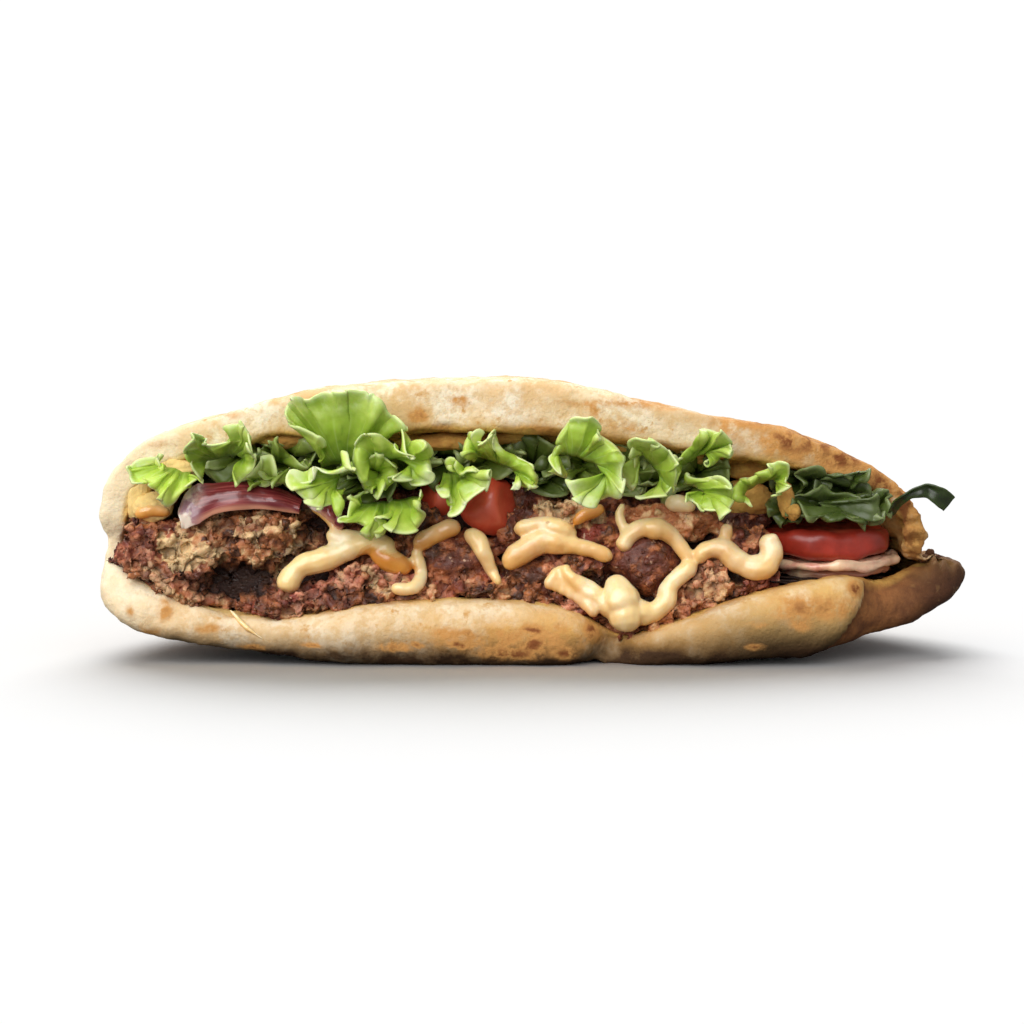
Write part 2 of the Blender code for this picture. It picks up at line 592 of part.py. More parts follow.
def tomato_wedge(name, wedge, collection, grow=0.0):
    """A wedge cut from a round tomato, skin side to the front."""
    x, y, z, radius, turn = wedge
    bm = bmesh.new()
    bmesh.ops.create_uvsphere(bm, u_segments=12, v_segments=8, radius=radius + grow)
    for normal, offset in (((0.35, 1, 0.35), 4.6), ((-0.2, 0.5, -1), 5.2)):
        away = Vector(normal).normalized()
        geometry = bm.verts[:] + bm.edges[:] + bm.faces[:]
        cut = bmesh.ops.bisect_plane(
            bm, geom=geometry, plane_co=away * (offset + grow), plane_no=away, clear_outer=True
        )
        rim = [e for e in cut["geom_cut"] if isinstance(e, bmesh.types.BMEdge)]
        bmesh.ops.holes_fill(bm, edges=rim)
    place = Matrix.Translation((x, y, z)) @ Matrix.Rotation(math.radians(turn), 4, "Y")
    bmesh.ops.transform(bm, matrix=place, verts=bm.verts)
    return object_of(name, bm, collection, "tomato")


def onion_strip(name, route, height, collection, grow=0.0, forward=-47.0):
    """A strip of an onion's outer layer, arched over the meat with its skin to the front."""
    bm = bmesh.new()
    along, across = 11, 2
    bmesh.ops.create_grid(bm, x_segments=along, y_segments=across, size=0.5)
    reach = grow / height
    for vert in bm.verts:
        share = vert.co.x + 0.5
        x, z = open_spline(route, share)
        side = vert.co.y * (1 + 2 * reach)
        vert.co = (x, forward - 3.0 * side + 2.5 * side * side, z - height * side)
    bmesh.ops.triangulate(bm, faces=bm.faces)
    bmesh.ops.recalc_face_normals(bm, faces=bm.faces)
    strip = object_of(name, bm, collection, "onion")
    thicken(strip, ARCH_THICK + 2 * grow)
    return strip


def onion_slice(name, item, collection, grow=0.0):
    """A flat slice across an onion."""
    x, y, z, radius, thick = item
    bm = bmesh.new()
    bmesh.ops.create_cone(
        bm, cap_ends=True, segments=26, radius1=radius - 1.0 + grow, radius2=radius + grow, depth=thick + 2 * grow
    )
    tilt = Matrix.Rotation(math.radians(2.0), 4, "X")
    bmesh.ops.transform(bm, matrix=Matrix.Translation((x, y, z)) @ tilt, verts=bm.verts)
    return object_of(name, bm, collection, "onion")


def thicken(obj, thick):
    solid = obj.modifiers.new("thick", "SOLIDIFY")
    solid.thickness = thick * MM
    solid.offset = 0.0
    solid.use_even_offset = False
    return solid


def leaf_point(leaf, along, across):
    """A point of a leaf: it leaves its root, comes forward out of the mouth and turns to its frilled edge."""
    (root_from, root_to), root_y, root_z, tips = leaf
    root = np.array([root_from + (root_to - root_from) * along, root_y, root_z])
    edge = open_spline(tips, along)
    turn = np.array([root[0] * 0.5 + edge[0] * 0.5, edge[1] * 0.9 - 6.0, root[2] * 0.5 + edge[2] * 0.5])
    s = across
    return root * (1 - s) ** 2 + turn * 2 * s * (1 - s) + edge * s * s


def lettuce_bed(collection):
    """The lettuce inside, as one packed body whose front stands back from the leaves' edges."""
    top = sorted((x, z) for _, _, x, z, _ in RIM if z > BED_BOTTOM)
    middle, half = sum(BED_X) / 2, (BED_X[1] - BED_X[0]) / 2
    loop = []
    for k in range(BED_SIDES):
        turn = 2 * math.pi * k / BED_SIDES
        x = middle + half * math.cos(turn)
        low, high = BED_BOTTOM, max(height_at(x, top) - BED_UNDER_BREAD, BED_BOTTOM + 3.0)
        rise = math.copysign(abs(math.sin(turn)) ** 0.6, math.sin(turn))
        loop.append((x, (low + high) / 2 + (high - low) / 2 * rise))
    loop = np.array(loop)
    y = np.full(len(loop), MOUTH_Y - 2.0 + BED_FRONT)
    rings = []
    for i in range(BED_RINGS + 1):
        ring = pocket_ring(loop, y, math.radians(56.0) * i / BED_RINGS, BED_DEPTH)
        rings.append(ring)
    rings[0][:, 1] += unevenness(rings[0], 9.0, 3.0)
    centre = np.mean(rings[0], axis=0)
    back = np.mean(rings[-1], axis=0) + (0.0, 3.0, 0.0)
    return object_of("lettuce_bed", loft(rings, centre, back), collection, "lettuce")


def make_leaf(name, leaf, collection):
    bm = bmesh.new()
    along = LEAF_ALONG * (len(leaf[3]) - 1)
    bmesh.ops.create_grid(bm, x_segments=along, y_segments=LEAF_ACROSS, size=0.5)
    for vert in bm.verts:
        vert.co = leaf_point(leaf, vert.co.x + 0.5, vert.co.y + 0.5)
    bmesh.ops.triangulate(bm, faces=bm.faces)
    made = object_of(name, bm, collection, "lettuce")
    thicken(made, LEAF_THICK)
    return made


def make_stray(name, collection):
    """The strip of leaf that hangs out of the right end."""
    bm = bmesh.new()
    bmesh.ops.create_grid(bm, x_segments=2 * (len(STRAY_ROUTE) - 1), y_segments=2, size=0.5)
    for vert in bm.verts:
        share, side = vert.co.x + 0.5, vert.co.y
        here = open_spline(STRAY_ROUTE, share)
        ahead = open_spline(STRAY_ROUTE, share + 0.02) - open_spline(STRAY_ROUTE, share - 0.02)
        across = np.array([-ahead[2], 0.35 * np.linalg.norm(ahead), ahead[0]])
        width = float(np.interp(share, np.linspace(0, 1, len(STRAY_WIDTH)), STRAY_WIDTH))
        vert.co = here + across / np.linalg.norm(across) * width * side
    bmesh.ops.triangulate(bm, faces=bm.faces)
    made = object_of(name, bm, collection, "lettuce")
    thicken(made, LEAF_THICK)
    return made


def main():
    clear_scene()
    parts = new_collection("doner_kebab_sandwich_half")
    cutters = new_collection("cutters")
    make_bread(parts)
    tomato_slice("tomato_slice", parts)
    for name, wedge in WEDGES.items():
        tomato_wedge(name, wedge, parts)
    onion_strip("onion_arch", ARCH_ROUTE, ARCH_HEIGHT, parts)
    onion_strip("onion_tail", TAIL_ROUTE, TAIL_HEIGHT, parts, forward=-46.0)
    for name, item in ONION_SLICES.items():
        onion_slice(name, item, parts)
    cut_by = [as_cutter(tomato_slice("cut_slice", cutters, CLEARANCE))]
    cut_by += [as_cutter(tomato_wedge("cut_" + n, w, cutters, CLEARANCE)) for n, w in WEDGES.items()]
    cut_by += [as_cutter(onion_strip("cut_arch", ARCH_ROUTE, ARCH_HEIGHT, cutters, CLEARANCE))]
    cut_by += [as_cutter(onion_strip("cut_tail", TAIL_ROUTE, TAIL_HEIGHT, cutters, CLEARANCE, -46.0))]
    cut_by += [as_cutter(onion_slice("cut_" + n, i, cutters, CLEARANCE)) for n, i in ONION_SLICES.items()]
    make_meat(parts, cutters, cut_by)
    lettuce_bed(parts)
    for name, leaf in LEAVES.items():
        make_leaf(name, leaf, parts)
    make_stray("lettuce_stray", parts)


main()
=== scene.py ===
"""Doner kebab sandwich half: a baked flatbread pocket with crumbly meat, sauce, tomato, onion and lettuce.

Sizes are in millimetres unless a name says otherwise; meshes are made in metres, in the frame of the solids.
"""

import json
import math
from functools import cache

import bmesh
import bpy
import numpy as np
from mathutils import Matrix, Vector, noise
from mathutils.bvhtree import BVHTree
from mathutils.kdtree import KDTree

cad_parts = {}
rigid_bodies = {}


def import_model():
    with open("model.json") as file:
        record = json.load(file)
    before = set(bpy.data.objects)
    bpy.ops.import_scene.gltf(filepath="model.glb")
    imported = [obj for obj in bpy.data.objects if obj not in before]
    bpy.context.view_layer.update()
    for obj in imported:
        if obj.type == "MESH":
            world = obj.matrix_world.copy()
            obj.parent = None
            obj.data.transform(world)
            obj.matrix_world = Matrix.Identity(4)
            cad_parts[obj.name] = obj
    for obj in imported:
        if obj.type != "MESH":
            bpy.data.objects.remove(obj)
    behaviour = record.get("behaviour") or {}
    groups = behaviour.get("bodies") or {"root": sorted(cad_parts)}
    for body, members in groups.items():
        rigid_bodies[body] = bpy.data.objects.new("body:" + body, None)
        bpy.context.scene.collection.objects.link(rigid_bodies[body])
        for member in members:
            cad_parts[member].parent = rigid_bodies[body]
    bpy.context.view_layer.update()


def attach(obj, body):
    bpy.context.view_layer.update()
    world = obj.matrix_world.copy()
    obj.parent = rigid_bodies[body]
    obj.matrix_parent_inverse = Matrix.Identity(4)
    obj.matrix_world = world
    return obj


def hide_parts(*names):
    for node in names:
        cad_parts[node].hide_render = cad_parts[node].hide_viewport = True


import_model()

MM = 0.001
BODY = "root"

# The seed of the noise, which otherwise changes from run to run.
NOISE_SEED = 4

# The pocket: half of a round flatbread, 250 mm across.
POCKET_DEPTH = 110.0
BACK_WALL = 13.0
SIDE_WALL = 9.0
MOUTH_Y = -38.0
POLE_X = 0.0
POLE_Z = 30.0
TOP_FALL = 0.30
TOP_CURVE = (3.2, 2.4)
BOTTOM_CURVE = (5, 2.5)
DOUGH_BUMPS = (34.0, 2.4)
DOUGH_LOW_SHARE = 0.3
TOP_LIP_FLAT = 0.42
BOTTOM_LIP_FLAT = 0.85
LIP_BULGE = (0.55, 3.4, 9.0)
LAST_RING = math.radians(84.0)
RINGS_CROWD = 1.25
TIP_FROM_X = 117.0
TIP_FADES = math.radians(35.0)
CAVITY_OPENS = math.radians(14.0)

# Round the mouth, clockwise from the left end: outer x, outer z, inner x, inner z, y.
RIM = (
    (-124.6, 33.0, -120.8, 32.0, -35),
    (-126.2, 42.0, -118.6, 40.5, -37),
    (-123.4, 53.0, -115.6, 50.0, -38),
    (-113.0, 63.4, -107.4, 56.6, -39),
    (-97.0, 69.5, -93.5, 60.6, -41),
    (-82.0, 73.8, -80.0, 63.0, -42),
    (-66.0, 78.4, -64.0, 64.4, -42),
    (-42.0, 80.9, -41.0, 66.2, -42),
    (-14.0, 82.0, -14.0, 66.8, -42),
    (8.0, 80.8, 8.0, 66.2, -42),
    (28.0, 76.4, 27.0, 63.8, -42),
    (50.0, 71.4, 49.0, 60.4, -41),
    (70.0, 68.0, 68.0, 57.6, -40),
    (88.6, 61.4, 85.4, 54.2, -38),
    (103.0, 53.0, 98.0, 49.6, -35),
    (111.8, 44.5, 106.0, 43.0, -32),
    (116.2, 35.5, 109.8, 35.0, -30),
    (115.4, 28.6, 110.6, 29.2, -27),
    (128.6, 25.6, 118.5, 26.6, -22),
    (125.2, 16.5, 113.0, 25.8, -26),
    (107.0, 8.3, 102.0, 22.4, -34),
    (86.0, 3.8, 87.0, 25.0, -46),
    (63.0, 1.2, 64.0, 20.5, -49),
    (40.0, -0.6, 41.0, 12.4, -49),
    (23.0, -1.2, 25.5, 8.4, -48),
    (5.0, -1.4, 8.0, 16.6, -48),
    (-22.0, -1.2, -20.0, 18.8, -48),
    (-50.0, -0.4, -48.0, 17.0, -48),
    (-76.0, 2.4, -72.0, 13.2, -47),
    (-97.0, 5.4, -91.0, 15.0, -45),
    (-114.0, 8.6, -107.5, 20.4, -43),
    (-124.2, 14.6, -117.0, 25.4, -40),
    (-126.4, 24.0, -120.0, 29.0, -37),
)
CREASE_X = 22.0
CREASE_WIDTH = 4.5
CREASE_DEPTH = 4.0

# The meat fills the pocket up to these heights at these places along X.
CORE_TOP = ((-112, 30), (-98, 37), (-75, 42), (40, 43), (58, 34), (68, 23), (112, 22))
CORE_RINGS = 5
CORE_INSET = 3.0
CORE_FRONT = 5.0
CORE_LAST_RING = math.radians(72.0)
CORE_LEAN = 6.0
CORE_WAVES = ((5.0, 0.9),)
# The core's deep of 0.9 is painted shade: it is drawn almost black behind the pieces.
CORE_TONES = {"tone": 0.0, "red": 0.2, "deep": 0.9}

# Meat pieces that show: x, z, half width, half height; how pale, how red, how crumbly, how far back.
PIECES = (
    (-112.0, 26.4, 6.4, 4.6, 0.55, 0.4, 1.0, 0.6), (-104.0, 21.6, 6.4, 3.8, 0.45, 0.5, 1.0, 0.4),
    (-101.0, 29.4, 4.8, 2.4, 1.0, 0.0, 1.0, 0.0), (-38.0, 33.0, 7.0, 5.0, 0.30, 0.3, 0.8, 1.0),
    (-110.0, 37.2, 7.6, 5.0, 0.25, 0.5, 1.0, 0.0), (-114.6, 31.4, 7.6, 4.8, 0.20, 0.6, 1.0, 0.0),
    (-94.4, 34.6, 8.6, 9.0, 0.62, 0.2, 1.0, 1.0), (-103.6, 35.0, 3.2, 3.8, 1.0, 0.0, 1.0, 0.0),
    (-76.5, 35.0, 14.0, 10.0, 0.50, 0.1, 1.0, 0.0), (-102.6, 24.6, 9.0, 4.2, 0.50, 0.4, 1.0, 0.0),
    (-86.5, 24.4, 10.0, 5.0, 0.08, 0.1, 1.0, 6.5), (-77.5, 18.6, 6.5, 3.8, 0.30, 0.6, 0.8, 0.5),
    (-66.0, 18.6, 8.0, 4.2, 0.55, 0.9, 1.0, 0.0), (-54.0, 33.0, 12.0, 8.0, 0.15, 0.2, 0.8, 3.0),
    (-46.0, 22.8, 14.0, 5.8, 0.65, 0.9, 1.0, 0.0), (-23.0, 29.0, 13.5, 9.4, 0.20, 0.3, 0.1, 0.0),
    (-32.0, 40.0, 10.0, 4.6, 0.15, 0.2, 0.8, 3.0), (-3.5, 37.0, 9.0, 7.6, 0.12, 0.3, 0.6, 3.0),
    (-1.4, 25.2, 8.6, 6.4, 0.06, 0.1, 0.1, 1.0), (12.9, 27.4, 11.0, 6.4, 0.30, 0.5, 0.8, 1.5),
    (9.6, 42.4, 9.6, 4.8, 0.85, 0.1, 1.0, 0.0), (20.0, 36.0, 9.0, 6.4, 0.08, 0.9, 0.1, 1.5),
    (33.9, 28.4, 11.6, 10.0, 0.10, 0.3, 0.1, 0.0), (39.7, 40.0, 14.5, 7.0, 0.50, 0.1, 0.2, 0.5),
    (54.3, 23.6, 11.5, 5.6, 0.70, 0.5, 1.0, 0.0), (60.0, 33.0, 9.0, 6.0, 0.15, 0.4, 0.6, 2.0),
    (-88.0, 43.6, 12.0, 5.0, 0.10, 0.2, 0.7, 7.0), (-66.0, 44.0, 12.0, 6.0, 0.08, 0.2, 0.7, 7.0),
    (-46.0, 44.0, 12.0, 6.0, 0.12, 0.3, 0.6, 8.0), (-24.0, 44.6, 13.0, 7.0, 0.10, 0.3, 0.6, 8.0),
    (-2.0, 45.6, 12.0, 7.0, 0.15, 0.3, 0.6, 8.0), (22.0, 46.6, 13.0, 6.0, 0.18, 0.3, 0.7, 7.0),
    (44.0, 45.0, 12.0, 6.0, 0.25, 0.3, 0.7, 7.0), (60.0, 41.0, 10.0, 5.0, 0.10, 0.3, 0.6, 7.0),
)
PIECE_DEPTH = 9.0
PIECE_ROUGH = 0.22
PIECE_SPOTS = 24
SMALL_PIECE = 6.0

# The front of the meat: its y at this height, and how much it falls back for each millimetre above it.
MEAT_FRONT_Y = -51.5
MEAT_FRONT_Z = 18.0
MEAT_LEAN = 0.22

# Small torn bits along the lower lip, so that no gap stays under the larger pieces.
BITS_X = (-104.0, 68.0)
BITS_GAP = 6.0

# Sauce drizzled from a bottle: half thickness at the start, middle and end, how creamy, and the x, z route.
SAUCE = (
    (3.2, 3.2, 2.6, 0.9, ((-71.2, 20.4), (-70.3, 24.7), (-66.8, 28.3), (-61.4, 29.9), (-56.1, 31.8),
                          (-50.1, 34.0), (-44.2, 34.0), (-40.0, 33.0))),
    (2.0, 2.7, 2.2, 0.95, ((-60.2, 37.2), (-54.9, 35.6), (-49.0, 35.4), (-43.0, 34.2))),
    (0.7, 1.2, 1.6, 0.6, ((-67.0, 47.8), (-63.6, 45.2), (-61.0, 43.1), (-58.2, 40.0), (-56.5, 37.6))),
    (2.2, 3.2, 2.6, 0.1, ((-47.2, 33.0), (-43.0, 30.4), (-39.0, 28.7), (-35.4, 27.0))),
    (1.6, 1.9, 1.5, 0.9, ((-34.4, 33.4), (-33.2, 29.4), (-32.3, 25.3), (-34.1, 22.3), (-37.7, 21.7),
                          (-41.0, 22.6))),
    (2.2, 2.6, 2.0, 0.45, ((-34.7, 33.6), (-29.9, 36.4), (-24.6, 38.8), (-21.0, 38.6))),
    (2.5, 2.2, 0.8, 0.8, ((-19.8, 38.0), (-16.3, 35.4), (-13.9, 31.2), (-11.8, 26.5), (-9.9, 22.6))),
    (2.9, 3.3, 1.7, 0.55, ((-8.6, 27.7), (-5.6, 30.6), (-0.8, 33.6), (3.3, 35.2), (7.5, 34.4), (13.4, 33.6),
                           (18.2, 32.4), (22.9, 30.2))),
    (2.0, 2.6, 1.8, 0.8, ((-6.0, 38.2), (-0.3, 39.5), (4.5, 39.3), (9.3, 38.2), (12.0, 36.0))),
    (2.0, 2.4, 2.0, 0.7, ((2.0, 39.0), (3.0, 36.6), (3.6, 34.8))),
    (1.2, 1.6, 1.0, 0.2, ((11.6, 40.1), (14.6, 42.5), (18.2, 43.7), (20.8, 45.0))),
    (2.2, 2.9, 1.4, 0.7, ((25.2, 32.4), (27.7, 36.6), (31.8, 38.9), (36.6, 38.6), (40.7, 36.0), (43.4, 32.4),
                          (45.5, 28.9))),
    (1.0, 1.1, 1.4, 0.95, ((26.2, 46.0), (25.0, 42.5), (26.2, 38.4), (26.5, 35.4))),
    (2.5, 3.2, 2.9, 0.75, ((46.9, 29.4), (49.9, 32.4), (54.6, 33.0), (58.2, 30.0), (62.3, 27.9), (66.5, 28.0),
                           (68.8, 31.0), (68.4, 34.4), (67.0, 37.0))),
    (1.8, 2.0, 1.8, 0.6, ((55.2, 40.1), (55.8, 37.8), (54.6, 34.0))),
    (2.4, 2.6, 3.4, 0.9, ((46.9, 29.0), (42.5, 25.6), (39.0, 21.9), (38.0, 17.8), (34.6, 15.0), (30.4, 15.2),
                                (27.0, 16.4))),
    (2.7, 4.8, 4.7, 1.0, ((23.4, 25.6), (24.6, 21.0), (26.2, 15.0), (27.0, 9.6))),
    (3.6, 2.5, 1.4, 0.9, ((25.4, 15.4), (20.4, 17.6), (16.0, 20.6), (12.4, 23.6), (9.9, 26.2), (8.7, 28.6))),
    (2.0, 2.5, 1.9, 1.0, ((38.0, 46.0), (42.4, 45.8), (46.8, 44.6))),
    (1.2, 1.7, 1.2, 0.35, ((-115.4, 42.6), (-110.7, 44.0), (-105.4, 43.0))),
    (0.3, 0.6, 0.3, 0.75, ((-88.1, 15.8), (-83.4, 11.4), (-77.4, 7.2))),
)
SAUCE_FULLER = 0.3
SAUCE_SUNK = 0.5
SAUCE_WOBBLE = (4.6, 0.20)
SAUCE_WAVES = ((7.0, 0.5), (2.6, 0.2))
SAUCE_EVENED = 4
SAUCE_DROOPS = 3.0

# The sauce fans out over the lip from one point: its x, z, and the x, z of the fan's front edge.
FAN_FROM = (8.8, 28.4)
FAN_TO = ((3.6, 21.6), (6.0, 20.6), (8.6, 19.4), (11.2, 18.2), (13.8, 17.0), (16.0, 15.4), (18.0, 13.8))
FAN_SIZES = (0.6, 1.8, 1.4)
FAN_CREAM = 0.7
SAUCE_REACH = 90.0

# Tomato: a round slice lying flat at the right, and two wedges in the middle.
SLICE_X, SLICE_Y, SLICE_Z = 86.8, -23.0, 34.4
SLICE_RADIUS, SLICE_THICK = 19.8, 7.4
SLICE_ROUND_OFF = 2.6
SLICE_TILT = math.radians(4.0)
SLICE_WAVES = ((11.0, 1.5), (4.6, 0.6), (1.6, 0.12))
OUT_OF_ROUND = 0.05
WEDGES = {
    "tomato_wedge_front": (-13.0, -38.0, 44.6, 9.0, 20.0),
    "tomato_wedge_back": (-27.0, -34.0, 46.8, 7.2, -15.0),
}

# The flat cuts of a wedge: their direction, and how far from the middle in millimetres or as a share of it.
WEDGE_CUTS = (((0.35, 1, 0.35), 4.6, 0.0), ((-0.2, 0.5, -1), 5.2, 0.0), ((0.9, -0.6, 0.5), 0.0, 0.72),
              ((-0.9, -0.6, 0.35), 0.0, 0.70))
WEDGE_VOXEL = 0.4
WEDGE_SOFTENED = 40
WEDGE_WAVES = ((5.0, 0.3),)
WEDGE_SKIN = 0.25

# Red onion: two arched strips at the left, and two slices under the round tomato slice.
ARCH_ROUTE = ((-101.8, 41.8), (-98.2, 45.2), (-91.5, 47.4), (-83.0, 48.2), (-74.5, 47.4), (-67.4, 45.0))
TAIL_ROUTE = ((-65.4, 48.0), (-60.6, 45.6), (-57.0, 42.4), (-55.2, 40.0))
ARCH_HEIGHTS = (4.5, 9.5, 10.5, 7.6, 6.8, 6.2, 5.4, 4.0, 2.4)
TAIL_HEIGHTS = (4.0, 5.0, 4.6, 2.6)
ONION_BANDS = {
    "onion_arch": (ARCH_ROUTE, ARCH_HEIGHTS, -47.5),
    "onion_tail": (TAIL_ROUTE, TAIL_HEIGHTS, -46.0),
}
BAND_THICK, BAND_EDGE = 2.2, 0.7
BAND_COLUMNS, BAND_ROWS = 160, 30
ONION_LAYERS = 6.5
LAYER_RIDGE = 0.28
ONION_TILT = math.radians(2.0)
ONION_WAVES = ((6.0, 0.9), (2.4, 0.35))
ONION_SAG = ((14.0, 1.6),)
ONION_SLICES = {
    "onion_slice_upper": (88.6, -22.5, 27.6, 20.6, 2.6, 0.10),
    "onion_slice_lower": (89.4, -20.0, 24.5, 17.6, 2.2, 0.60),
}

# Lettuce packed behind the leaves, from the meat up to the bread.
BED_X = (-101.0, 91.0)
BED_BOTTOM = 46.6
BED_UNDER_BREAD = 4.0
BED_FRONT = 18.0
BED_SIDES = 24
BED_RINGS = 4
BED_DEPTH = 72.0
BED_LAST_RING = math.radians(56.0)
BED_FACE_STEPS = 14
BED_CROWN = 3.0
# The lettuce inside is drawn almost black: painted shade inside the pocket.
BED_SHADE_TONE = 0.06

# Lettuce leaves: the tips round each frilled edge, x, y, z. A leaf's place in the list sets its ruffles.
LEAVES = {
    "lettuce_far_left": (
        (-107.6, -47, 56.6), (-112.6, -49, 59.4), (-116.0, -53, 58.4), (-115.6, -50, 54.8),
        (-112.0, -54, 52.6), (-109.0, -51, 50.6), (-105.4, -55, 47.4), (-102.4, -52, 45.6),
        (-99.8, -54, 48.6), (-98.8, -50, 52.6)),
    "lettuce_left": (
        (-97.6, -50, 55.4), (-101.0, -54, 59.8), (-98.6, -60, 64.4), (-94.6, -57, 65.2), (-93.0, -52, 63.0),
        (-88.4, -58, 65.6), (-85.6, -61, 69.2), (-82.6, -57, 70.2), (-79.8, -61, 67.0), (-78.6, -57, 62.4),
        (-77.8, -62, 58.4), (-80.4, -57, 55.6), (-85.4, -60, 52.6)),
    "lettuce_left_inner": (
        (-76.4, -47, 61.4), (-72.6, -52, 64.0), (-69.6, -48, 62.6), (-67.4, -52, 59.2), (-65.0, -48, 57.2),
        (-65.2, -52, 54.2), (-68.2, -47, 52.4), (-71.2, -53, 51.4), (-75.4, -49, 54.2), (-78.2, -52, 54.0)),
    "lettuce_tall": (
        (-60.8, -53, 61.4), (-62.6, -57, 65.6), (-69.8, -59, 69.4), (-71.0, -55, 73.8), (-68.8, -60, 77.2),
        (-63.2, -55, 77.8), (-55.2, -60, 79.4), (-47.6, -56, 78.2), (-43.4, -60, 76.2), (-40.6, -55, 73.4),
        (-37.8, -58, 70.8), (-39.8, -53, 67.8)),
    "lettuce_hanging": (
        (-53.4, -60, 60.6), (-55.8, -63, 56.0), (-60.4, -57, 54.8), (-66.4, -62, 53.6), (-67.8, -58, 51.0),
        (-64.6, -62, 47.6), (-59.4, -57, 47.0), (-56.8, -61, 44.8), (-54.2, -56, 49.6)),
    "lettuce_middle": (
        (-48.6, -58, 54.6), (-50.6, -62, 61.0), (-49.4, -59, 65.6), (-44.8, -64, 66.8), (-41.0, -60, 65.4),
        (-38.6, -62, 62.6), (-34.8, -56, 65.4), (-31.6, -60, 65.4), (-29.2, -56, 61.0), (-29.2, -61, 56.0),
        (-32.4, -56, 53.4), (-37.2, -61, 52.4), (-42.4, -56, 53.2)),
    "lettuce_middle_low": (
        (-49.2, -52, 48.6), (-53.4, -57, 43.0), (-54.6, -61, 40.4), (-49.8, -56, 40.0), (-45.6, -61, 37.2),
        (-42.4, -58, 36.8), (-43.2, -55, 41.4), (-39.6, -60, 39.8), (-35.4, -62, 39.2), (-31.8, -58, 41.6),
        (-30.6, -62, 44.6), (-31.8, -56, 49.0)),
    "lettuce_middle_right": (
        (-28.4, -55, 50.8), (-24.4, -60, 49.4), (-22.0, -56, 46.8), (-21.2, -61, 43.8), (-18.4, -56, 48.0),
        (-14.8, -60, 51.8), (-13.8, -56, 55.4), (-17.6, -61, 55.8), (-21.0, -56, 56.8), (-22.4, -60, 59.6),
        (-25.6, -54, 57.4)),
    "lettuce_centre": (
        (-16.6, -48, 56.6), (-20.4, -53, 59.0), (-21.4, -49, 63.6), (-19.2, -54, 66.0), (-16.4, -50, 64.0),
        (-13.4, -54, 64.0), (-10.0, -49, 66.6), (-7.8, -54, 63.0), (-4.4, -50, 60.2), (-0.4, -55, 58.4),
        (1.6, -50, 54.0), (-0.6, -55, 51.2), (-4.2, -50, 51.4), (-8.2, -54, 53.0)),
    "lettuce_right": (
        (8.6, -50, 54.4), (4.2, -56, 56.6), (3.4, -52, 61.2), (7.2, -58, 66.8), (9.6, -54, 70.0),
        (13.0, -60, 71.0), (17.2, -56, 69.4), (20.0, -60, 65.6), (23.4, -56, 63.4), (26.2, -61, 59.4),
        (24.8, -57, 54.2), (23.2, -62, 50.2), (20.6, -57, 49.6), (17.6, -61, 47.0), (13.8, -56, 48.4),
        (11.6, -60, 51.6)),
    "lettuce_cups": (
        (28.8, -50, 52.0), (27.6, -55, 56.4), (30.0, -51, 62.4), (28.6, -56, 66.4), (31.4, -60, 67.4),
        (34.0, -55, 64.6), (36.8, -60, 62.4), (39.0, -55, 59.2), (39.4, -61, 55.6), (38.0, -55, 49.8),
        (34.0, -60, 47.8), (30.4, -55, 48.6)),
    "lettuce_right_high": (
        (41.4, -50, 54.6), (40.8, -55, 58.4), (43.8, -52, 63.2), (47.0, -57, 66.6), (50.0, -53, 67.4),
        (53.8, -59, 66.2), (56.2, -55, 63.0), (54.4, -60, 60.4), (51.0, -55, 59.8), (48.2, -58, 58.0)),
    "lettuce_right_low": (
        (45.6, -50, 53.6), (49.4, -55, 54.0), (53.4, -59, 53.8), (56.6, -55, 50.2), (55.6, -60, 46.8),
        (53.6, -55, 44.6), (48.4, -59, 45.2), (44.0, -54, 47.4), (41.6, -57, 49.0)),
    "lettuce_small_frill": (
        (61.8, -48, 47.2), (57.8, -53, 48.0), (58.6, -49, 52.0), (62.2, -54, 53.6), (68.0, -50, 55.8),
        (72.0, -55, 57.8), (73.6, -51, 54.2), (70.4, -55, 50.0), (67.4, -50, 48.8)),
    "lettuce_dark_upper": (
        (77.0, -40, 48.4), (78.8, -46, 51.4), (76.0, -42, 54.4), (80.6, -47, 56.0), (87.2, -43, 54.4),
        (92.0, -48, 55.2), (96.6, -44, 55.4), (95.2, -48, 53.0), (92.0, -43, 49.8)),
    "lettuce_dark_lower": (
        (92.6, -43, 47.4), (98.6, -48, 47.8), (100.2, -44, 46.4), (101.0, -48, 40.2), (98.8, -44, 41.4),
        (94.8, -49, 40.0), (90.2, -45, 41.2), (85.2, -49, 40.8), (81.8, -45, 42.4), (78.6, -49, 42.2),
        (76.6, -44, 45.2)),
}

# A stray strip of leaf at the right end: its route x, y, z and its width along it.
STRAY_ROUTE = (
    (103.6, -44, 42.6), (104.6, -50, 46.4), (107.4, -53, 49.0), (110.6, -54, 50.2), (113.6, -54, 50.0),
    (116.4, -54, 48.4), (118.8, -53, 46.4),
)
STRAY_WIDTH = (2.4, 3.2, 2.4, 3.4, 4.8, 5.6, 5.4)
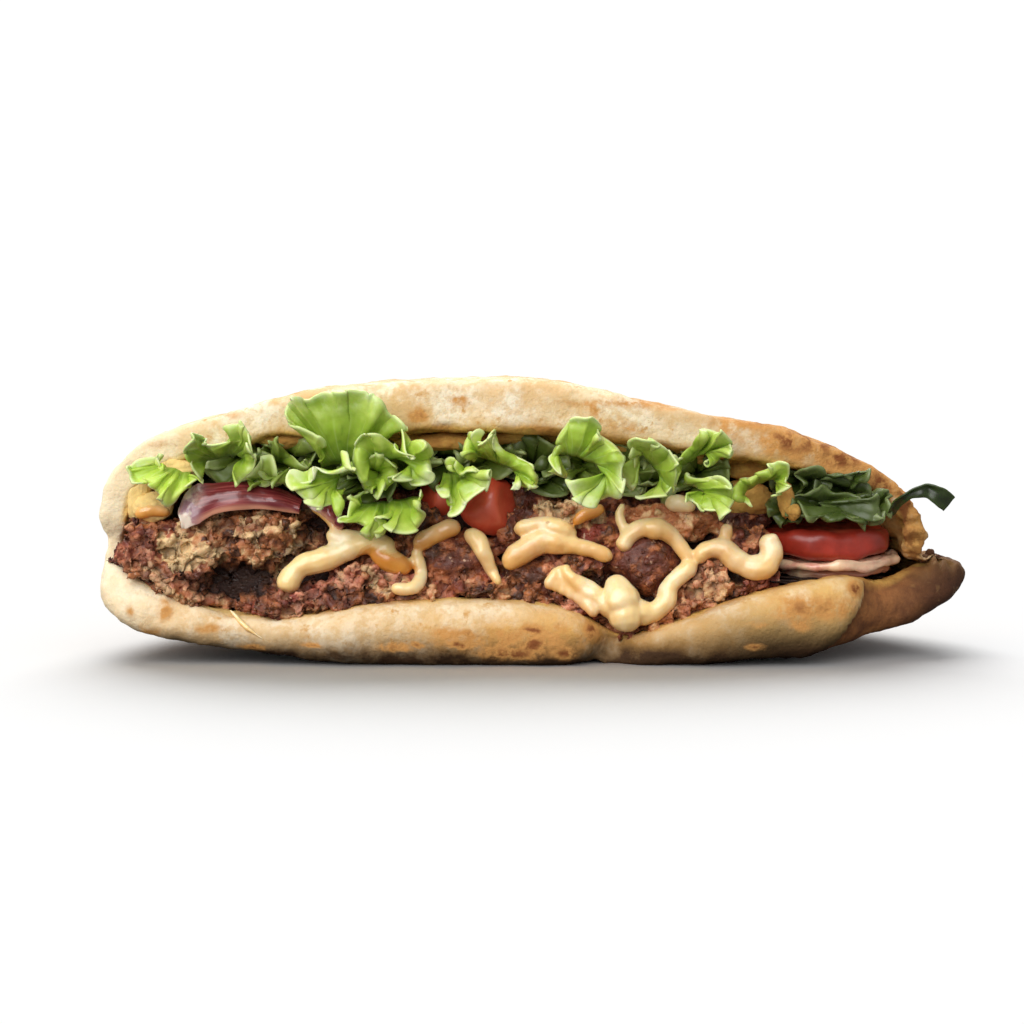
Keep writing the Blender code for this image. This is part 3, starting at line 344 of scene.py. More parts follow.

# Crumpled leaves behind the others, in the mouth: x, z, half width, half height, y, how light; the darkest
# are painted shade deep in the mouth.
FOLDS = (
    (-84.0, 57.6, 10.0, 5.4, -41.0, 0.20), (-78.0, 53.6, 8.5, 1.8, -46.0, 0.60),
    (-71.0, 58.0, 9.0, 6.4, -40.0, 0.30), (-60.0, 57.0, 9.0, 7.4, -38.0, 0.10),
    (-50.0, 51.0, 9.0, 5.4, -44.0, 0.15), (-49.0, 59.0, 8.0, 6.4, -38.0, 0.20),
    (-38.0, 57.6, 10.0, 7.0, -40.0, 0.25), (-27.0, 56.0, 9.0, 7.0, -37.0, 0.10),
    (-13.0, 58.0, 10.0, 6.4, -37.0, 0.20), (0.0, 58.4, 9.0, 6.4, -37.0, 0.12),
    (4.0, 53.0, 8.0, 4.0, -38.0, 0.08), (14.0, 58.0, 11.0, 8.0, -37.0, 0.25),
    (26.0, 56.4, 9.0, 8.0, -38.0, 0.22), (38.0, 55.4, 9.0, 8.0, -37.0, 0.20),
    (48.0, 54.0, 9.0, 8.0, -38.0, 0.16), (78.0, 51.6, 9.0, 7.0, -38.0, 0.03),
    (91.0, 49.0, 10.0, 6.4, -38.0, 0.02), (84.0, 45.4, 11.0, 4.8, -41.0, 0.05),
    (98.0, 45.4, 6.0, 5.0, -40.0, 0.06), (-45.0, 54.6, 7.0, 4.4, -52.0, 0.80),
    (74.0, 43.6, 6.0, 4.4, -38.0, 0.06),
)
FOLD_TIPS = 12
FOLD_FROM, FOLD_SWEEP = -100.0, 340.0
FOLD_STEP = 5.0
FOLD_DEEP = 12.0
FIRST_FOLD_SEED = 40

# Torn crumb of the bread that shows between the leaves: x, z, y, half width, half height.
TORN_CRUMB = (
    (62.0, 46.4, -35.0, 9.0, 5.0), (66.0, 55.6, -34.0, 11.0, 4.0), (73.6, 47.0, -42.0, 2.4, 5.0),
    (75.4, 43.6, -44.0, 2.2, 2.6), (52.0, 60.0, -38.0, 9.0, 3.6), (-104.0, 56.0, -41.0, 7.0, 3.6),
    (-111.0, 44.6, -41.0, 6.0, 4.0), (-115.8, 47.6, -38.6, 4.4, 8.4), (27.0, 63.0, -38.0, 9.0, 2.4),
    (-72.0, 64.6, -41.0, 9.0, 3.0), (-28.0, 63.4, -41.0, 13.0, 2.8), (-9.0, 65.0, -38.0, 10.0, 2.4),
    (-36.0, 65.4, -38.0, 9.0, 2.4),
)

# How finely the bread is divided, and the height of its crust's and crumb's unevenness.
BREAD_COLUMNS = 12
BREAD_OUTER, BREAD_LIP, BREAD_INNER = 84, 22, 34
CRUST_WAVES = ((13.0, 0.7), (5.5, 0.5), (2.6, 0.35))
CRUMB_WAVES = ((6.0, 1.1), (2.6, 0.8), (1.3, 0.35))
TORN_WAVES = ((3.4, 1.4), (1.6, 0.6))
TUFT_WAVES = ((8.0, 1.0), (3.6, 0.25), (1.0, 0.08))
TIP_SHREDS = ((118.6, -23.6, 28.4, 1.0, 2.0), (121.6, -22.6, 27.2, 0.9, 1.4), (125.6, -21.6, 26.2, 1.4, 1.2),
              (116.4, -26.0, 27.6, 1.6, 1.2))
TOP_LIP_HANGS = 0.5
CRUMB_HANG = 5.0
CRUMB_FROM_TOP, CRUMB_FROM_BOTTOM = (0.50, 0.74), (0.80, 1.0)
LIP_LIFTED = ((-73.0, 8.0, 2.6), (-28.0, 8.0, 0.6))

# Toasted patches on the front of the bread: x, z, half width, half height, how dark. Those at the right end,
# past x 100, are partly painted shade.
TOASTED = (
    (-33.0, 71.0, 2.6, 1.6, 0.7), (-22.0, 76.5, 3.2, 1.2, 0.5), (15.6, 73.3, 3.6, 1.6, 0.8),
    (30.0, 68.6, 9.0, 1.8, 0.45), (58.0, 68.6, 8.0, 3.0, 0.5), (75.0, 64.4, 11.0, 4.0, 0.8),
    (90.0, 58.6, 8.0, 3.4, 0.85), (102.0, 51.0, 6.0, 4.0, 0.9), (82.0, 63.0, 18.0, 5.0, 0.65),
    (66.0, 70.0, 14.0, 2.6, 0.6), (101.0, 53.0, 10.0, 6.0, 0.6), (110.0, 44.0, 6.0, 7.0, 1.0),
    (112.0, 33.0, 5.0, 7.0, 1.0), (30.0, 75.4, 26.0, 1.2, 0.4), (109.0, 43.0, 6.0, 6.0, 0.8),
    (68.0, 70.5, 12.0, 1.6, 0.6), (-88.5, 71.6, 7.0, 1.6, 0.25), (-107.0, 63.0, 6.0, 2.0, 0.25),
    (0.0, 67.2, 9.0, 1.6, 0.5), (-30.0, 67.2, 8.0, 1.6, 0.5), (43.0, 74.4, 16.0, 1.4, 0.5),
    (-25.2, 10.2, 3.6, 1.2, 0.55), (-19.0, 9.3, 2.6, 1.2, 0.7), (-9.5, 9.0, 1.2, 1.1, 1.0),
    (-0.2, 10.8, 3.2, 1.2, 0.9), (8.3, 11.0, 1.4, 1.7, 1.0), (16.6, 10.0, 2.2, 3.0, 0.8),
    (-21.2, 6.3, 2.4, 1.1, 1.0), (-39.7, 5.5, 4.4, 1.2, 0.75), (-33.0, 6.2, 2.0, 0.7, 0.7),
    (-0.2, 6.5, 3.8, 1.5, 1.0), (-6.2, 3.8, 9.0, 1.8, 0.8), (8.9, 3.8, 3.2, 1.8, 0.8),
    (-5.0, 7.4, 26.0, 3.4, 0.42), (63.9, 12.5, 3.2, 0.8, 0.5), (76.4, 17.0, 9.0, 3.8, 0.55),
    (85.4, 17.0, 8.0, 3.8, 0.5), (93.0, 21.8, 2.4, 2.2, 0.95), (76.4, 11.6, 3.4, 1.4, 0.5),
    (63.3, 5.8, 2.4, 0.9, 0.8), (-116.5, 14.8, 1.4, 2.4, 0.35), (-106.4, 15.4, 2.4, 3.4, 0.5),
    (-93.0, 10.2, 5.0, 1.6, 0.45), (-63.9, 6.2, 3.2, 0.8, 0.7), (-80.3, 5.0, 4.4, 0.9, 0.7),
    (-112.0, 9.0, 5.0, 2.0, 0.4),
)
BACK_PATCHES = 110
BACK_PATCH_SIZE = (3.0, 13.0)

# Where the rolled lip ends at the right, and the torn points behind it: x, z.
ROLL_END_X = 96.4
ROLL_STEP, ROLL_SWELL = 1.9, 0.8
FOLD_X = 21.4
FOLD_TUCK = 2.4
TORN_POINTS = ((119.0, 29.4), (122.0, 28.2), (126.0, 27.0))

# The meat's surface: lumps that make a piece crumbly, and the cracks between crumbs.
LUMP_SIZE = (0.9, 3.0)
LUMP_GAP = 2.5
LUMP_STRETCH = (0.5, 1.5)
LUMP_ROUGH = 0.55
MEAT_VOXEL = 0.68
MEAT_WAVES = ((2.4, 0.9), (1.2, 0.6))
CRACKS = ((6.4, 2.6), (2.5, 0.8))
CRACK_WIDTH = 0.16
CRACK_WARP = (1.3, 0.55)
CAVE_LIMIT_Y = -38.0
# Hollows between the pieces: x, z, half width, half height, depth. They are pushed back and drawn dark with
# painted shade.
CAVES = ((-86.0, 23.0, 11.0, 5.0, 7.0), (-68.0, 29.0, 5.0, 6.0, 4.0), (-62.0, 38.0, 6.0, 4.0, 4.0),
         (20.0, 24.0, 6.0, 3.0, 3.0), (60.0, 26.0, 3.0, 2.4, 5.0))

# Loose crumbs: how many to a square metre, their points, smallest and largest half size, and how far
# forward they lie.
CRUMBS = 620 / 0.02
CRUMB_POINTS = 42
CRUMB_SIZES = (0.5, 1.5)
CRUMB_LIMIT_Y = -44.0
CRUMB_SEED = 3
FULL_TURN = 6.28
CRUMB_TONES = (("tone", 0.1, 1.0), ("red", 0.0, 0.7), ("deep", 0.0, 0.1))

SAUCE_VOXEL = 0.42
SAUCE_STEPS_PER_MM = 1.6
SAUCE_SOFTENED = 9

# Where the blade of each leaf comes from: the two ends of a line behind it, x, y, z.
LEAF_ROOTS = {
    "lettuce_far_left": ((-108.0, -44.0, 57.5), (-99.0, -44.0, 55.0)),
    "lettuce_left": ((-94.0, -47.0, 58.6), (-83.0, -47.0, 61.0)),
    "lettuce_left_inner": ((-75.0, -44.0, 58.0), (-68.0, -45.0, 57.0)),
    "lettuce_tall": ((-61.0, -48.0, 57.0), (-49.0, -48.0, 59.0)),
    "lettuce_hanging": ((-54.0, -52.0, 59.0), (-57.0, -52.0, 51.0)),
    "lettuce_middle": ((-47.0, -54.0, 60.0), (-34.0, -54.0, 59.0)),
    "lettuce_middle_low": ((-50.0, -48.0, 46.0), (-33.0, -48.0, 48.0)),
    "lettuce_middle_right": ((-26.0, -46.0, 55.0), (-17.0, -46.0, 54.0)),
    "lettuce_centre": ((-16.0, -44.0, 60.0), (-4.0, -44.0, 55.0)),
    "lettuce_right": ((6.0, -53.0, 62.0), (22.0, -53.0, 57.0)),
    "lettuce_cups": ((30.0, -51.0, 62.0), (37.0, -51.0, 54.0)),
    "lettuce_right_high": ((43.0, -48.0, 57.0), (50.0, -48.0, 62.0)),
    "lettuce_right_low": ((43.0, -47.0, 52.0), (51.0, -47.0, 50.0)),
    "lettuce_small_frill": ((60.0, -42.0, 49.0), (71.0, -43.0, 54.0)),
    "lettuce_dark_upper": ((78.0, -36.0, 52.0), (92.0, -36.0, 52.0)),
    "lettuce_dark_lower": ((80.0, -38.0, 45.0), (96.0, -38.0, 44.0)),
}
TIP_EVENING = 0.35

RUFFLE_LENGTH = 11.5
RUFFLE_HEIGHT = 3.2
RUFFLE_SWAY = 1.7
LEAF_WARP = (9.0, 3.2)
LOBES = ((5.0, 1.6), (1.8, 0.6))
RIM_FROM, RIM_WIDTH, RIM_ROLL = 0.82, 0.18, 2.2
ROWS_CROWD = 0.8
LEAF_COLUMNS = 13
LEAF_ROWS = 20
FOLD_COLUMNS = 7
FOLD_ROWS = 13
LEAF_THIN = 0.5
# How light each leaf is drawn: partly its own green, partly painted shade, the lowest tones standing for
# leaves that lie in shade.
LEAF_TONES_AND_SHADE = {
    "lettuce_far_left": 1.0, "lettuce_left": 0.70, "lettuce_left_inner": 0.35, "lettuce_tall": 0.72,
    "lettuce_hanging": 0.95, "lettuce_middle": 0.85, "lettuce_middle_low": 0.80, "lettuce_middle_right": 0.85,
    "lettuce_centre": 0.90, "lettuce_right": 0.82, "lettuce_cups": 0.62, "lettuce_right_high": 0.72,
    "lettuce_right_low": 0.78, "lettuce_small_frill": 0.74, "lettuce_dark_upper": 0.04,
    "lettuce_dark_lower": 0.06, "lettuce_stray": 0.0,
}
CALM_LEAVES = {
    "lettuce_dark_upper": 0.16, "lettuce_dark_lower": 0.14, "lettuce_tall": 0.6, "lettuce_small_frill": 0.7,
}
DARK_FOLD = 0.07
DARK_FOLD_CALM = 0.25

# Light: name, strength, softness in degrees, direction it comes from, whether it leaves the floor alone.
LIGHTS = (
    ("front", 3.1, 60.0, (-0.50, -1.0, 0.75), True),
    ("back", 2.4, 50.0, (-0.10, 0.80, 1.0), False),
)
SKY_LIGHT, SKY_SEEN = 0.42, 1.1
FLOOR_SEEN, FLOOR_BOUNCE = 1.0, 0.28
FLOOR_REACH = 12.0

# The camera of the photo: where it looks, how far it is in metres, how high, and its lens.
CAMERA_TARGET = (-6.2, -45.0, 43.5)
CAMERA_DISTANCE = 0.70
CAMERA_ELEVATION = math.radians(5.0)
CAMERA_LENS, CAMERA_SENSOR = 85.0, 36.0


# Shapes.


def smooth(value, low, high):
    s = np.clip((value - low) / (high - low), 0.0, 1.0)
    return s * s * (3 - 2 * s)


def catmull_rom(a, b, c, d, s):
    return 0.5 * (2 * b + (c - a) * s + (2 * a - 5 * b + 4 * c - d) * s * s + (3 * b - a - 3 * c + d) * s**3)


def closed_spline(points, steps):
    """Points on a smooth closed curve through the given ones, steps to each gap."""
    p = np.array(points, float)
    n = len(p)
    at = [(i, k / steps) for i in range(n) for k in range(steps)]
    return np.array([catmull_rom(p[i - 1], p[i], p[(i + 1) % n], p[(i + 2) % n], s) for i, s in at])


def open_spline(points, at):
    """The point at share at (0 to 1) along a smooth curve through the given points."""
    p = np.array(points, float)
    place = min(max(at, 0.0), 1.0) * (len(p) - 1)
    i = min(int(place), len(p) - 2)
    before = p[i - 1] if i > 0 else 2 * p[0] - p[1]
    after = p[i + 2] if i + 2 < len(p) else 2 * p[-1] - p[-2]
    return catmull_rom(before, p[i], p[i + 1], after, place - i)


def unevenness(points, size, height, shift=0.0):
    """Slow random bumps of that size: one height for each point."""
    return np.array([noise.noise(Vector(p) / size + Vector((shift, shift, shift))) for p in points]) * height


def waves(points, table, shift=0.0):
    return sum(unevenness(points, size, height, shift + 11.0 * k) for k, (size, height) in enumerate(table))


def height_at(x, table):
    return float(np.interp(x, [row[0] for row in table], [row[1] for row in table]))


def new_object(name, data):
    """A new object of the scene."""
    made = bpy.data.objects.new(name, data)
    bpy.context.scene.collection.objects.link(made)
    return made


def object_from(name, points, faces, values=None):
    """An object from points in millimetres, with one number for each point under each name in values."""
    mesh = bpy.data.meshes.new(name)
    mesh.from_pydata((np.asarray(points) * MM).tolist(), [], faces)
    made = new_object(name, mesh)
    for key, numbers in (values or {}).items():
        give_values(made, key, numbers)
    turn_outwards(made)
    mesh.shade_smooth()
    return made


def object_of(name, bm):
    """An object from the faces of bm, which is freed."""
    mesh = bpy.data.meshes.new(name)
    bm.to_mesh(mesh)
    bm.free()
    return new_object(name, mesh)


def turn_outwards(obj):
    bm = bmesh.new()
    bm.from_mesh(obj.data)
    bmesh.ops.recalc_face_normals(bm, faces=bm.faces)
    bm.to_mesh(obj.data)
    bm.free()


def with_modifiers_applied(obj):
    """The object's mesh becomes what its modifiers make of it."""
    graph = bpy.context.evaluated_depsgraph_get()
    evaluated = obj.evaluated_get(graph)
    made = bpy.data.meshes.new_from_object(evaluated, preserve_all_data_layers=True, depsgraph=graph)
    obj.modifiers.clear()
    old = obj.data
    obj.data = made
    bpy.data.meshes.remove(old)
    obj.data.shade_smooth()
    return obj


def fused(obj, voxel, softened=0, share=0.5):
    """The object's shells run together into one surface of even cells, softened that many times."""
    even = obj.modifiers.new("even", "REMESH")
    even.mode = "VOXEL"
    even.voxel_size = voxel * MM
    if softened:
        soft = obj.modifiers.new("soft", "SMOOTH")
        soft.factor = share
        soft.iterations = softened
    return with_modifiers_applied(obj)


def thicken(obj, thick):
    solid = obj.modifiers.new("thick", "SOLIDIFY")
    solid.thickness = thick * MM
    solid.offset = 0.0
    solid.use_even_offset = False


def points_of(obj):
    """The object's points in millimetres, one row each."""
    flat = np.empty(len(obj.data.vertices) * 3)
    obj.data.vertices.foreach_get("co", flat)
    return flat.reshape(-1, 3) / MM


def normals_of(obj):
    flat = np.empty(len(obj.data.vertices) * 3)
    obj.data.vertices.foreach_get("normal", flat)
    return flat.reshape(-1, 3)


def move_points(obj, points):
    obj.data.vertices.foreach_set("co", (points * MM).ravel())
    obj.data.update()


def raise_points(obj, height):
    """Moves each point outwards by its own height."""
    points = points_of(obj)
    move_points(obj, points + normals_of(obj) * height[:, None])


def give_values(obj, key, numbers):
    attribute = obj.data.attributes.new(key, "FLOAT", "POINT")
    attribute.data.foreach_set("value", np.asarray(numbers, np.float32))


def joined(name, objects):
    """One object with the meshes of several, which are removed."""
    bm = bmesh.new()
    for obj in objects:
        bm.from_mesh(obj.data)
        bpy.data.objects.remove(obj, do_unlink=True)
    made = object_of(name, bm)
    made.data.shade_smooth()
    return made


def tree_of(objects):
    """A search tree over the faces of several objects, in metres."""
    points, faces = [], []
    for obj in objects:
        first = len(points)
        points += [v.co.copy() for v in obj.data.vertices]
        faces += [[first + i for i in f.vertices] for f in obj.data.polygons]
    return BVHTree.FromPolygons(points, faces)


def quads(rows, columns, closed):
    """The faces of a grid of points, whose rows close on themselves where closed."""
    last = columns if closed else columns - 1
    faces = []
    for r in range(rows - 1):
        for c in range(last):
            d = (c + 1) % columns
            faces.append((r * columns + c, r * columns + d, (r + 1) * columns + d, (r + 1) * columns + c))
    return faces


def end_fans(rows, columns):
    """The faces from a grid's first and last rows to the two points that follow the grid's own."""
    first, last, below = rows * columns, rows * columns + 1, (rows - 1) * columns
    faces = [(first, (c + 1) % columns, c) for c in range(columns)]
    return faces + [(last, below + c, below + (c + 1) % columns) for c in range(columns)]


def grid_normals(grid, closed=True):
    """Outward-or-inward unit normals of a grid of points (rows, columns, 3)."""
    along = np.gradient(grid, axis=0)
    across = np.roll(grid, -1, 1) - np.roll(grid, 1, 1) if closed else np.gradient(grid, axis=1)
    normal = np.cross(across, along)
    return normal / (np.linalg.norm(normal, axis=2, keepdims=True) + 1e-9)


# Bread.


def pocket_ring(loop, y, angle, depth):
    """A loop of the mouth (x, z) carried back into the pocket: angle 0 is the mouth, 90 degrees the back."""
    tip = np.clip(loop[:, 0] - TIP_FROM_X, 0.0, None) * smooth(angle, 0.0, TIP_FADES)
    turned = math.sin(angle)
    upper = (1 - turned ** TOP_CURVE[0]) ** (1 / TOP_CURVE[1]) * (1 - TOP_FALL * turned**2)
    lower = (1 - turned ** BOTTOM_CURVE[0]) ** (1 / BOTTOM_CURVE[1])
    x = POLE_X + (loop[:, 0] - tip - POLE_X) * math.cos(angle)
    rise = loop[:, 1] - POLE_Z
    z = POLE_Z + rise * np.where(rise > 0, upper, lower)
    back = MOUTH_Y + (y - MOUTH_Y) * math.cos(angle) ** 2 + depth * turned
    return np.column_stack([x, back, z])


def pushed_out(ring, height):
    """The ring moved away from the pocket's long axis by height, point by point."""
    away = ring[:, [0, 2]] - (POLE_X, POLE_Z)
    away[:, 0] *= 0.25
    away /= np.linalg.norm(away, axis=1)[:, None] + 1e-6
    moved = ring.copy()
    moved[:, [0, 2]] += away * height[:, None]
    return moved


def rim_loops(steps):
    rim = closed_spline(RIM, steps)
    return rim[:, 0:2], rim[:, 2:4], rim[:, 4]


def outer_rings(outer, y):
    """The rings of the crust, from the back to the mouth."""
    rings = []
    for i in range(BREAD_OUTER, -1, -1):
        angle = LAST_RING * (i / BREAD_OUTER) ** RINGS_CROWD
        ring = pocket_ring(outer, y, angle, POCKET_DEPTH)
        bumps = unevenness(ring, *DOUGH_BUMPS) * np.where(ring[:, 2] > POLE_Z, 1.0, DOUGH_LOW_SHARE)
        rings.append(pushed_out(ring, bumps * math.sin(2 * angle)))
    return rings


def lip_rings(outer, inner, y, gap):
    """The rings round the lip, from its outer to its inner edge."""
    near_crease = np.exp(-(((outer[:, 0] - CREASE_X) / CREASE_WIDTH) ** 2)) * (outer[:, 1] < POLE_Z)
    share_of_gap, least, most = LIP_BULGE
    bulge = np.clip(gap * share_of_gap, least, most) - CREASE_DEPTH * near_crease
    flat = np.where(outer[:, 1] > POLE_Z, TOP_LIP_FLAT, BOTTOM_LIP_FLAT)
    rings = []
    for i in range(1, BREAD_LIP + 1):
        turn = math.pi * i / (BREAD_LIP + 1)
        across = math.copysign(1.0, math.cos(turn)) * abs(math.cos(turn)) ** flat
        share = ((1 + across) / 2)[:, None]
        loop = outer * share + inner * (1 - share)
        rings.append(np.column_stack([loop[:, 0], y - bulge * math.sin(turn) ** flat, loop[:, 1]]))
    return rings


def inner_rings(outer, inner, y, gap):
    """The rings of the pocket's inside, from the mouth to the back."""
    wall = np.minimum(1.0, SIDE_WALL / gap)[:, None]
    cavity = outer + (inner - outer) * wall
    inward = (inner - outer) / gap[:, None]
    upper = smooth(inner[:, 1], 32.0, 38.0)[:, None]
    rings = []
    for i in range(BREAD_INNER + 1):
        angle = LAST_RING * (i / BREAD_INNER) ** RINGS_CROWD
        hang = CRUMB_HANG * smooth(angle, 0.0, 0.10) * (1 - smooth(angle, 0.5, 0.9))
        loop = inner + (cavity - inner) * smooth(angle, 0.45, 0.9) * upper
        opened = smooth(angle, 0.0, CAVITY_OPENS)
        loop = loop + (cavity - inner) * opened * (1 - upper) + inward * hang * upper
        rings.append(pocket_ring(loop, y, angle, POCKET_DEPTH - BACK_WALL))
    return rings


def bread_rings():
    """The wall's rings with, for each, how far round the lip it is: 0 outside, 1 inside."""
    outer, inner, y = rim_loops(BREAD_COLUMNS)
    inner[:, 1] -= TOP_LIP_HANGS * smooth(inner[:, 1], 52.0, 58.0)
    for x, reach, lift in LIP_LIFTED:
        inner[:, 1] += lift * np.exp(-(((inner[:, 0] - x) / reach) ** 2)) * (inner[:, 1] > 50.0)
    gap = np.linalg.norm(outer - inner, axis=1)
    crust = outer_rings(outer, y)
    lip = lip_rings(outer, inner, y, gap)
    inside = inner_rings(outer, inner, y, gap)
    round_lip = [(i + 1) / (BREAD_LIP + 1) for i in range(BREAD_LIP)]
    return np.stack(crust + lip + inside), np.array([0.0] * len(crust) + round_lip + [1.0] * len(inside))


def toast_of(points):
    """How toasted the crust is at each point, from the patches of the front and seeded ones behind."""
    toast = np.zeros(len(points))
    front = smooth(-points[:, 1], 22.0, 34.0)
    for x, z, half_x, half_z, dark in TOASTED:
        reach = ((points[:, 0] - x) / half_x) ** 2 + ((points[:, 2] - z) / half_z) ** 2
        toast = np.maximum(toast, dark * np.exp(-reach) * front)
    draw = np.random.default_rng(5)
    for _ in range(BACK_PATCHES):
        centre = (draw.uniform(-115, 115), draw.uniform(-28, 72), draw.choice((4.0, 30.0, 66.0)))
        size = draw.uniform(*BACK_PATCH_SIZE)
        reach = (((points - centre) / (size * 1.5, size, size * 1.6)) ** 2).sum(axis=1)
        toast = np.maximum(toast, draw.uniform(0.3, 0.9) * np.exp(-reach) * (1 - front))
    return toast


def roll_steps(points):
    """How deep the crust lies back where the rolled lip ends and where it is folded, and how brown it is."""
    x, y, z = points.T
    low_front = (1 - smooth(z, 25.0, 31.0)) * smooth(-y, 10.0, 24.0)
    end = ROLL_END_X - 0.030 * np.clip(24.0 - z, 0.0, None) ** 2
    past = smooth(x, end - 1.3, end + 1.3) * (1 - smooth(x, end + 6.0, end + 22.0))
    full = np.exp(-(((x - end + 5.0) / 4.5) ** 2)) * (x < end + 0.9)
    fold = FOLD_X + 0.9 * np.clip(z - 2.0, -2.0, 8.0)
    tucked = np.exp(-(((x - fold) / 7.0) ** 2)) * (1 - smooth(x, fold - 0.9, fold + 0.6))
    back = ROLL_STEP * past * smooth(z, 2.0, 9.0) - ROLL_SWELL * full + FOLD_TUCK * tucked
    side = smooth(-y, -16.0, 24.0) * (1 - smooth(z, 25.0, 31.0))
    return back * low_front, smooth(x, end - 1.0, end + 1.2) * side


def crumb_and_torn(points, turned):
    """Where the inside of the bread shows, and where the right end is torn, for each point."""
    x, y, z = points.T
    crumb = np.where(z > 40.0, smooth(turned, *CRUMB_FROM_TOP), smooth(turned, *CRUMB_FROM_BOTTOM))
    torn = smooth(x, 100.0, 112.0) * smooth(z, 20.0, 34.0) * smooth(-y, 8.0, 24.0)
    return np.maximum(crumb * (1 - 0.5 * torn), torn * smooth(x, 108.0, 114.0) * 0.35), torn


def with_torn_points(points):
    """The points with the torn tips of the right end pulled up, and none below the table."""
    for x, z in TORN_POINTS:
        near = np.exp(-(((points[:, 0] - x) / 1.2) ** 2)) * smooth(points[:, 2], 20.0, 25.0)
        points[:, 2] += near * (points[:, 1] < -12.0) * np.maximum(0.0, z - points[:, 2]) * 0.9
    points[:, 2] = np.maximum(points[:, 2], 0.0)
    return points


def bread_piece():
    grid, turned = bread_rings()
    rows, columns = grid.shape[:2]
    points = grid.reshape(-1, 3)
    crumb, torn = crumb_and_torn(points, np.repeat(turned, columns))
    back, brown = roll_steps(points)
    crumb_height = -np.abs(waves(points, CRUMB_WAVES, 40.0)) + 0.3
    height = waves(points, CRUST_WAVES) * (1 - crumb) + crumb_height * crumb
    height += torn * waves(points, TORN_WAVES, 70.0)
    height -= back * (1 - crumb)
    outward = grid_normals(grid).reshape(-1, 3)
    if (outward * (points - (0.0, 15.0, 30.0)))[: 20 * columns].sum() < 0:
        outward = -outward
    points = with_torn_points(points + outward * height[:, None])
    back_y = MOUTH_Y + POCKET_DEPTH
    points = np.vstack([points, [POLE_X, back_y, POLE_Z], [POLE_X, back_y - BACK_WALL, POLE_Z]])
    values = {
        "crumb": np.append(crumb, (0.0, 1.0)),
        "toast": toast_of(points),
        "brown": np.append(brown, (0.0, 0.0)),
    }
    made = object_from("bread_pocket", points, quads(rows, columns, True) + end_fans(rows, columns), values)
    return finished(made, crust_finish(), "bread", "bread")


def torn_crumb_piece():
    """Rough tufts of the bread's inside that show between the leaves."""
    balls = []
    for k, (x, z, y, half_x, half_z) in enumerate(TORN_CRUMB):
        balls.append(ball("tuft", (x, y, z), (half_x, 4.0, half_z), 5, 0.14, (k * 4.1, k * 2.7, 9.0)))
    for k, (x, y, z, half, high) in enumerate(TIP_SHREDS):
        balls.append(ball("shred", (x, y, z), (half, half, high), 4, 0.5, (k * 3.1, 5.0, k * 1.7)))
    made = joined("bread_torn_crumb", balls)
    points = points_of(made)
    raise_points(made, waves(points, TUFT_WAVES, 20.0))
    at_tip = (points[:, 0] > 114.0) * 1.0
    for key, value in (("crumb", 1.0 - at_tip), ("toast", np.zeros(len(points))), ("brown", at_tip)):
        give_values(made, key, value)
    return finished(made, crust_finish(), "bread", "bread")


# Meat and sauce.


def front_of_piece(z):
    """How far forward the meat comes at a height: most at the bottom, less towards the top."""
    return MEAT_FRONT_Y + MEAT_LEAN * max(0.0, z - MEAT_FRONT_Z)


def ball(name, centre, radii, sides, rough, shift):
    """A rough ball: a sphere pulled out of shape by noise."""
    bm = bmesh.new()
    bmesh.ops.create_icosphere(bm, subdivisions=sides, radius=1.0)
    apart = Vector(shift)
    for vert in bm.verts:
        bump = noise.noise(vert.co * 1.5 + apart) + 0.5 * noise.noise(vert.co * 3.4 + apart)
        vert.co *= 1 + rough * bump
    placed = Matrix.Scale(MM, 4) @ Matrix.Translation(centre) @ Matrix.Diagonal((*radii, 1.0))
    bmesh.ops.transform(bm, matrix=placed, verts=bm.verts)
    return object_of(name, bm)


def lumps_of(piece, draw):
    """Small lumps over the front of one piece, each with its radius, paleness, redness and crumbliness."""
    x, z, half_x, half_z, pale, red, rough, back = piece
    count = int(math.pi * half_x * half_z * 2.2 / LUMP_GAP**2 * (0.03 + 0.97 * rough))
    lumps = []
    for _ in range(count):
        turn, rise = draw.uniform(0, 2 * math.pi), draw.uniform(0.05, 1.0)
        wide = math.sqrt(1 - rise * rise)
        away = np.array([math.cos(turn) * wide, -rise, math.sin(turn) * wide])
        centre = np.array([x, front_of_piece(z) + PIECE_DEPTH + back, z])
        centre = centre + away * (half_x, PIECE_DEPTH, half_z) * draw.uniform(0.84, 1.0)
        tone = float(np.clip(pale + draw.normal(0, 0.26) * (0.4 + 0.6 * rough), 0, 1))
        lumps.append((centre, draw.uniform(*LUMP_SIZE) * (0.6 + 0.4 * rough), tone, red, rough))
    return lumps


def all_pieces(draw):
    """The large pieces, and the bits along the lower lip."""
    low = sorted((row[2], row[3]) for row in RIM if row[3] < 27.0)
    bits = []
    for x in np.arange(BITS_X[0], BITS_X[1], BITS_GAP):
        x = x + draw.uniform(-1.5, 1.5)
        half = draw.uniform(3.2, 5.4)
        z = height_at(x, low) + half * draw.uniform(0.25, 0.6)
        back = 7.0 if -98.0 < x < -78.0 else draw.uniform(0.6, 2.4)
        high, pale, red = half * draw.uniform(0.6, 0.9), draw.uniform(0.1, 0.75), draw.uniform(0.2, 0.9)
        bits.append((x, z, half, high, pale, red, 1.0, back))
    return list(PIECES) + bits


def cracked(points, size, shift):
    """How near each point is to a crack between crumbs of about that size: 1 in the crack."""
    near = []
    for p in points:
        place = Vector(p) / size + Vector((shift, shift, shift))
        gaps = noise.voronoi(place + CRACK_WARP[1] * noise.noise_vector(place * CRACK_WARP[0]))[0]
        near.append(math.exp(-(gaps[1] - gaps[0]) / CRACK_WIDTH))
    return np.array(near)


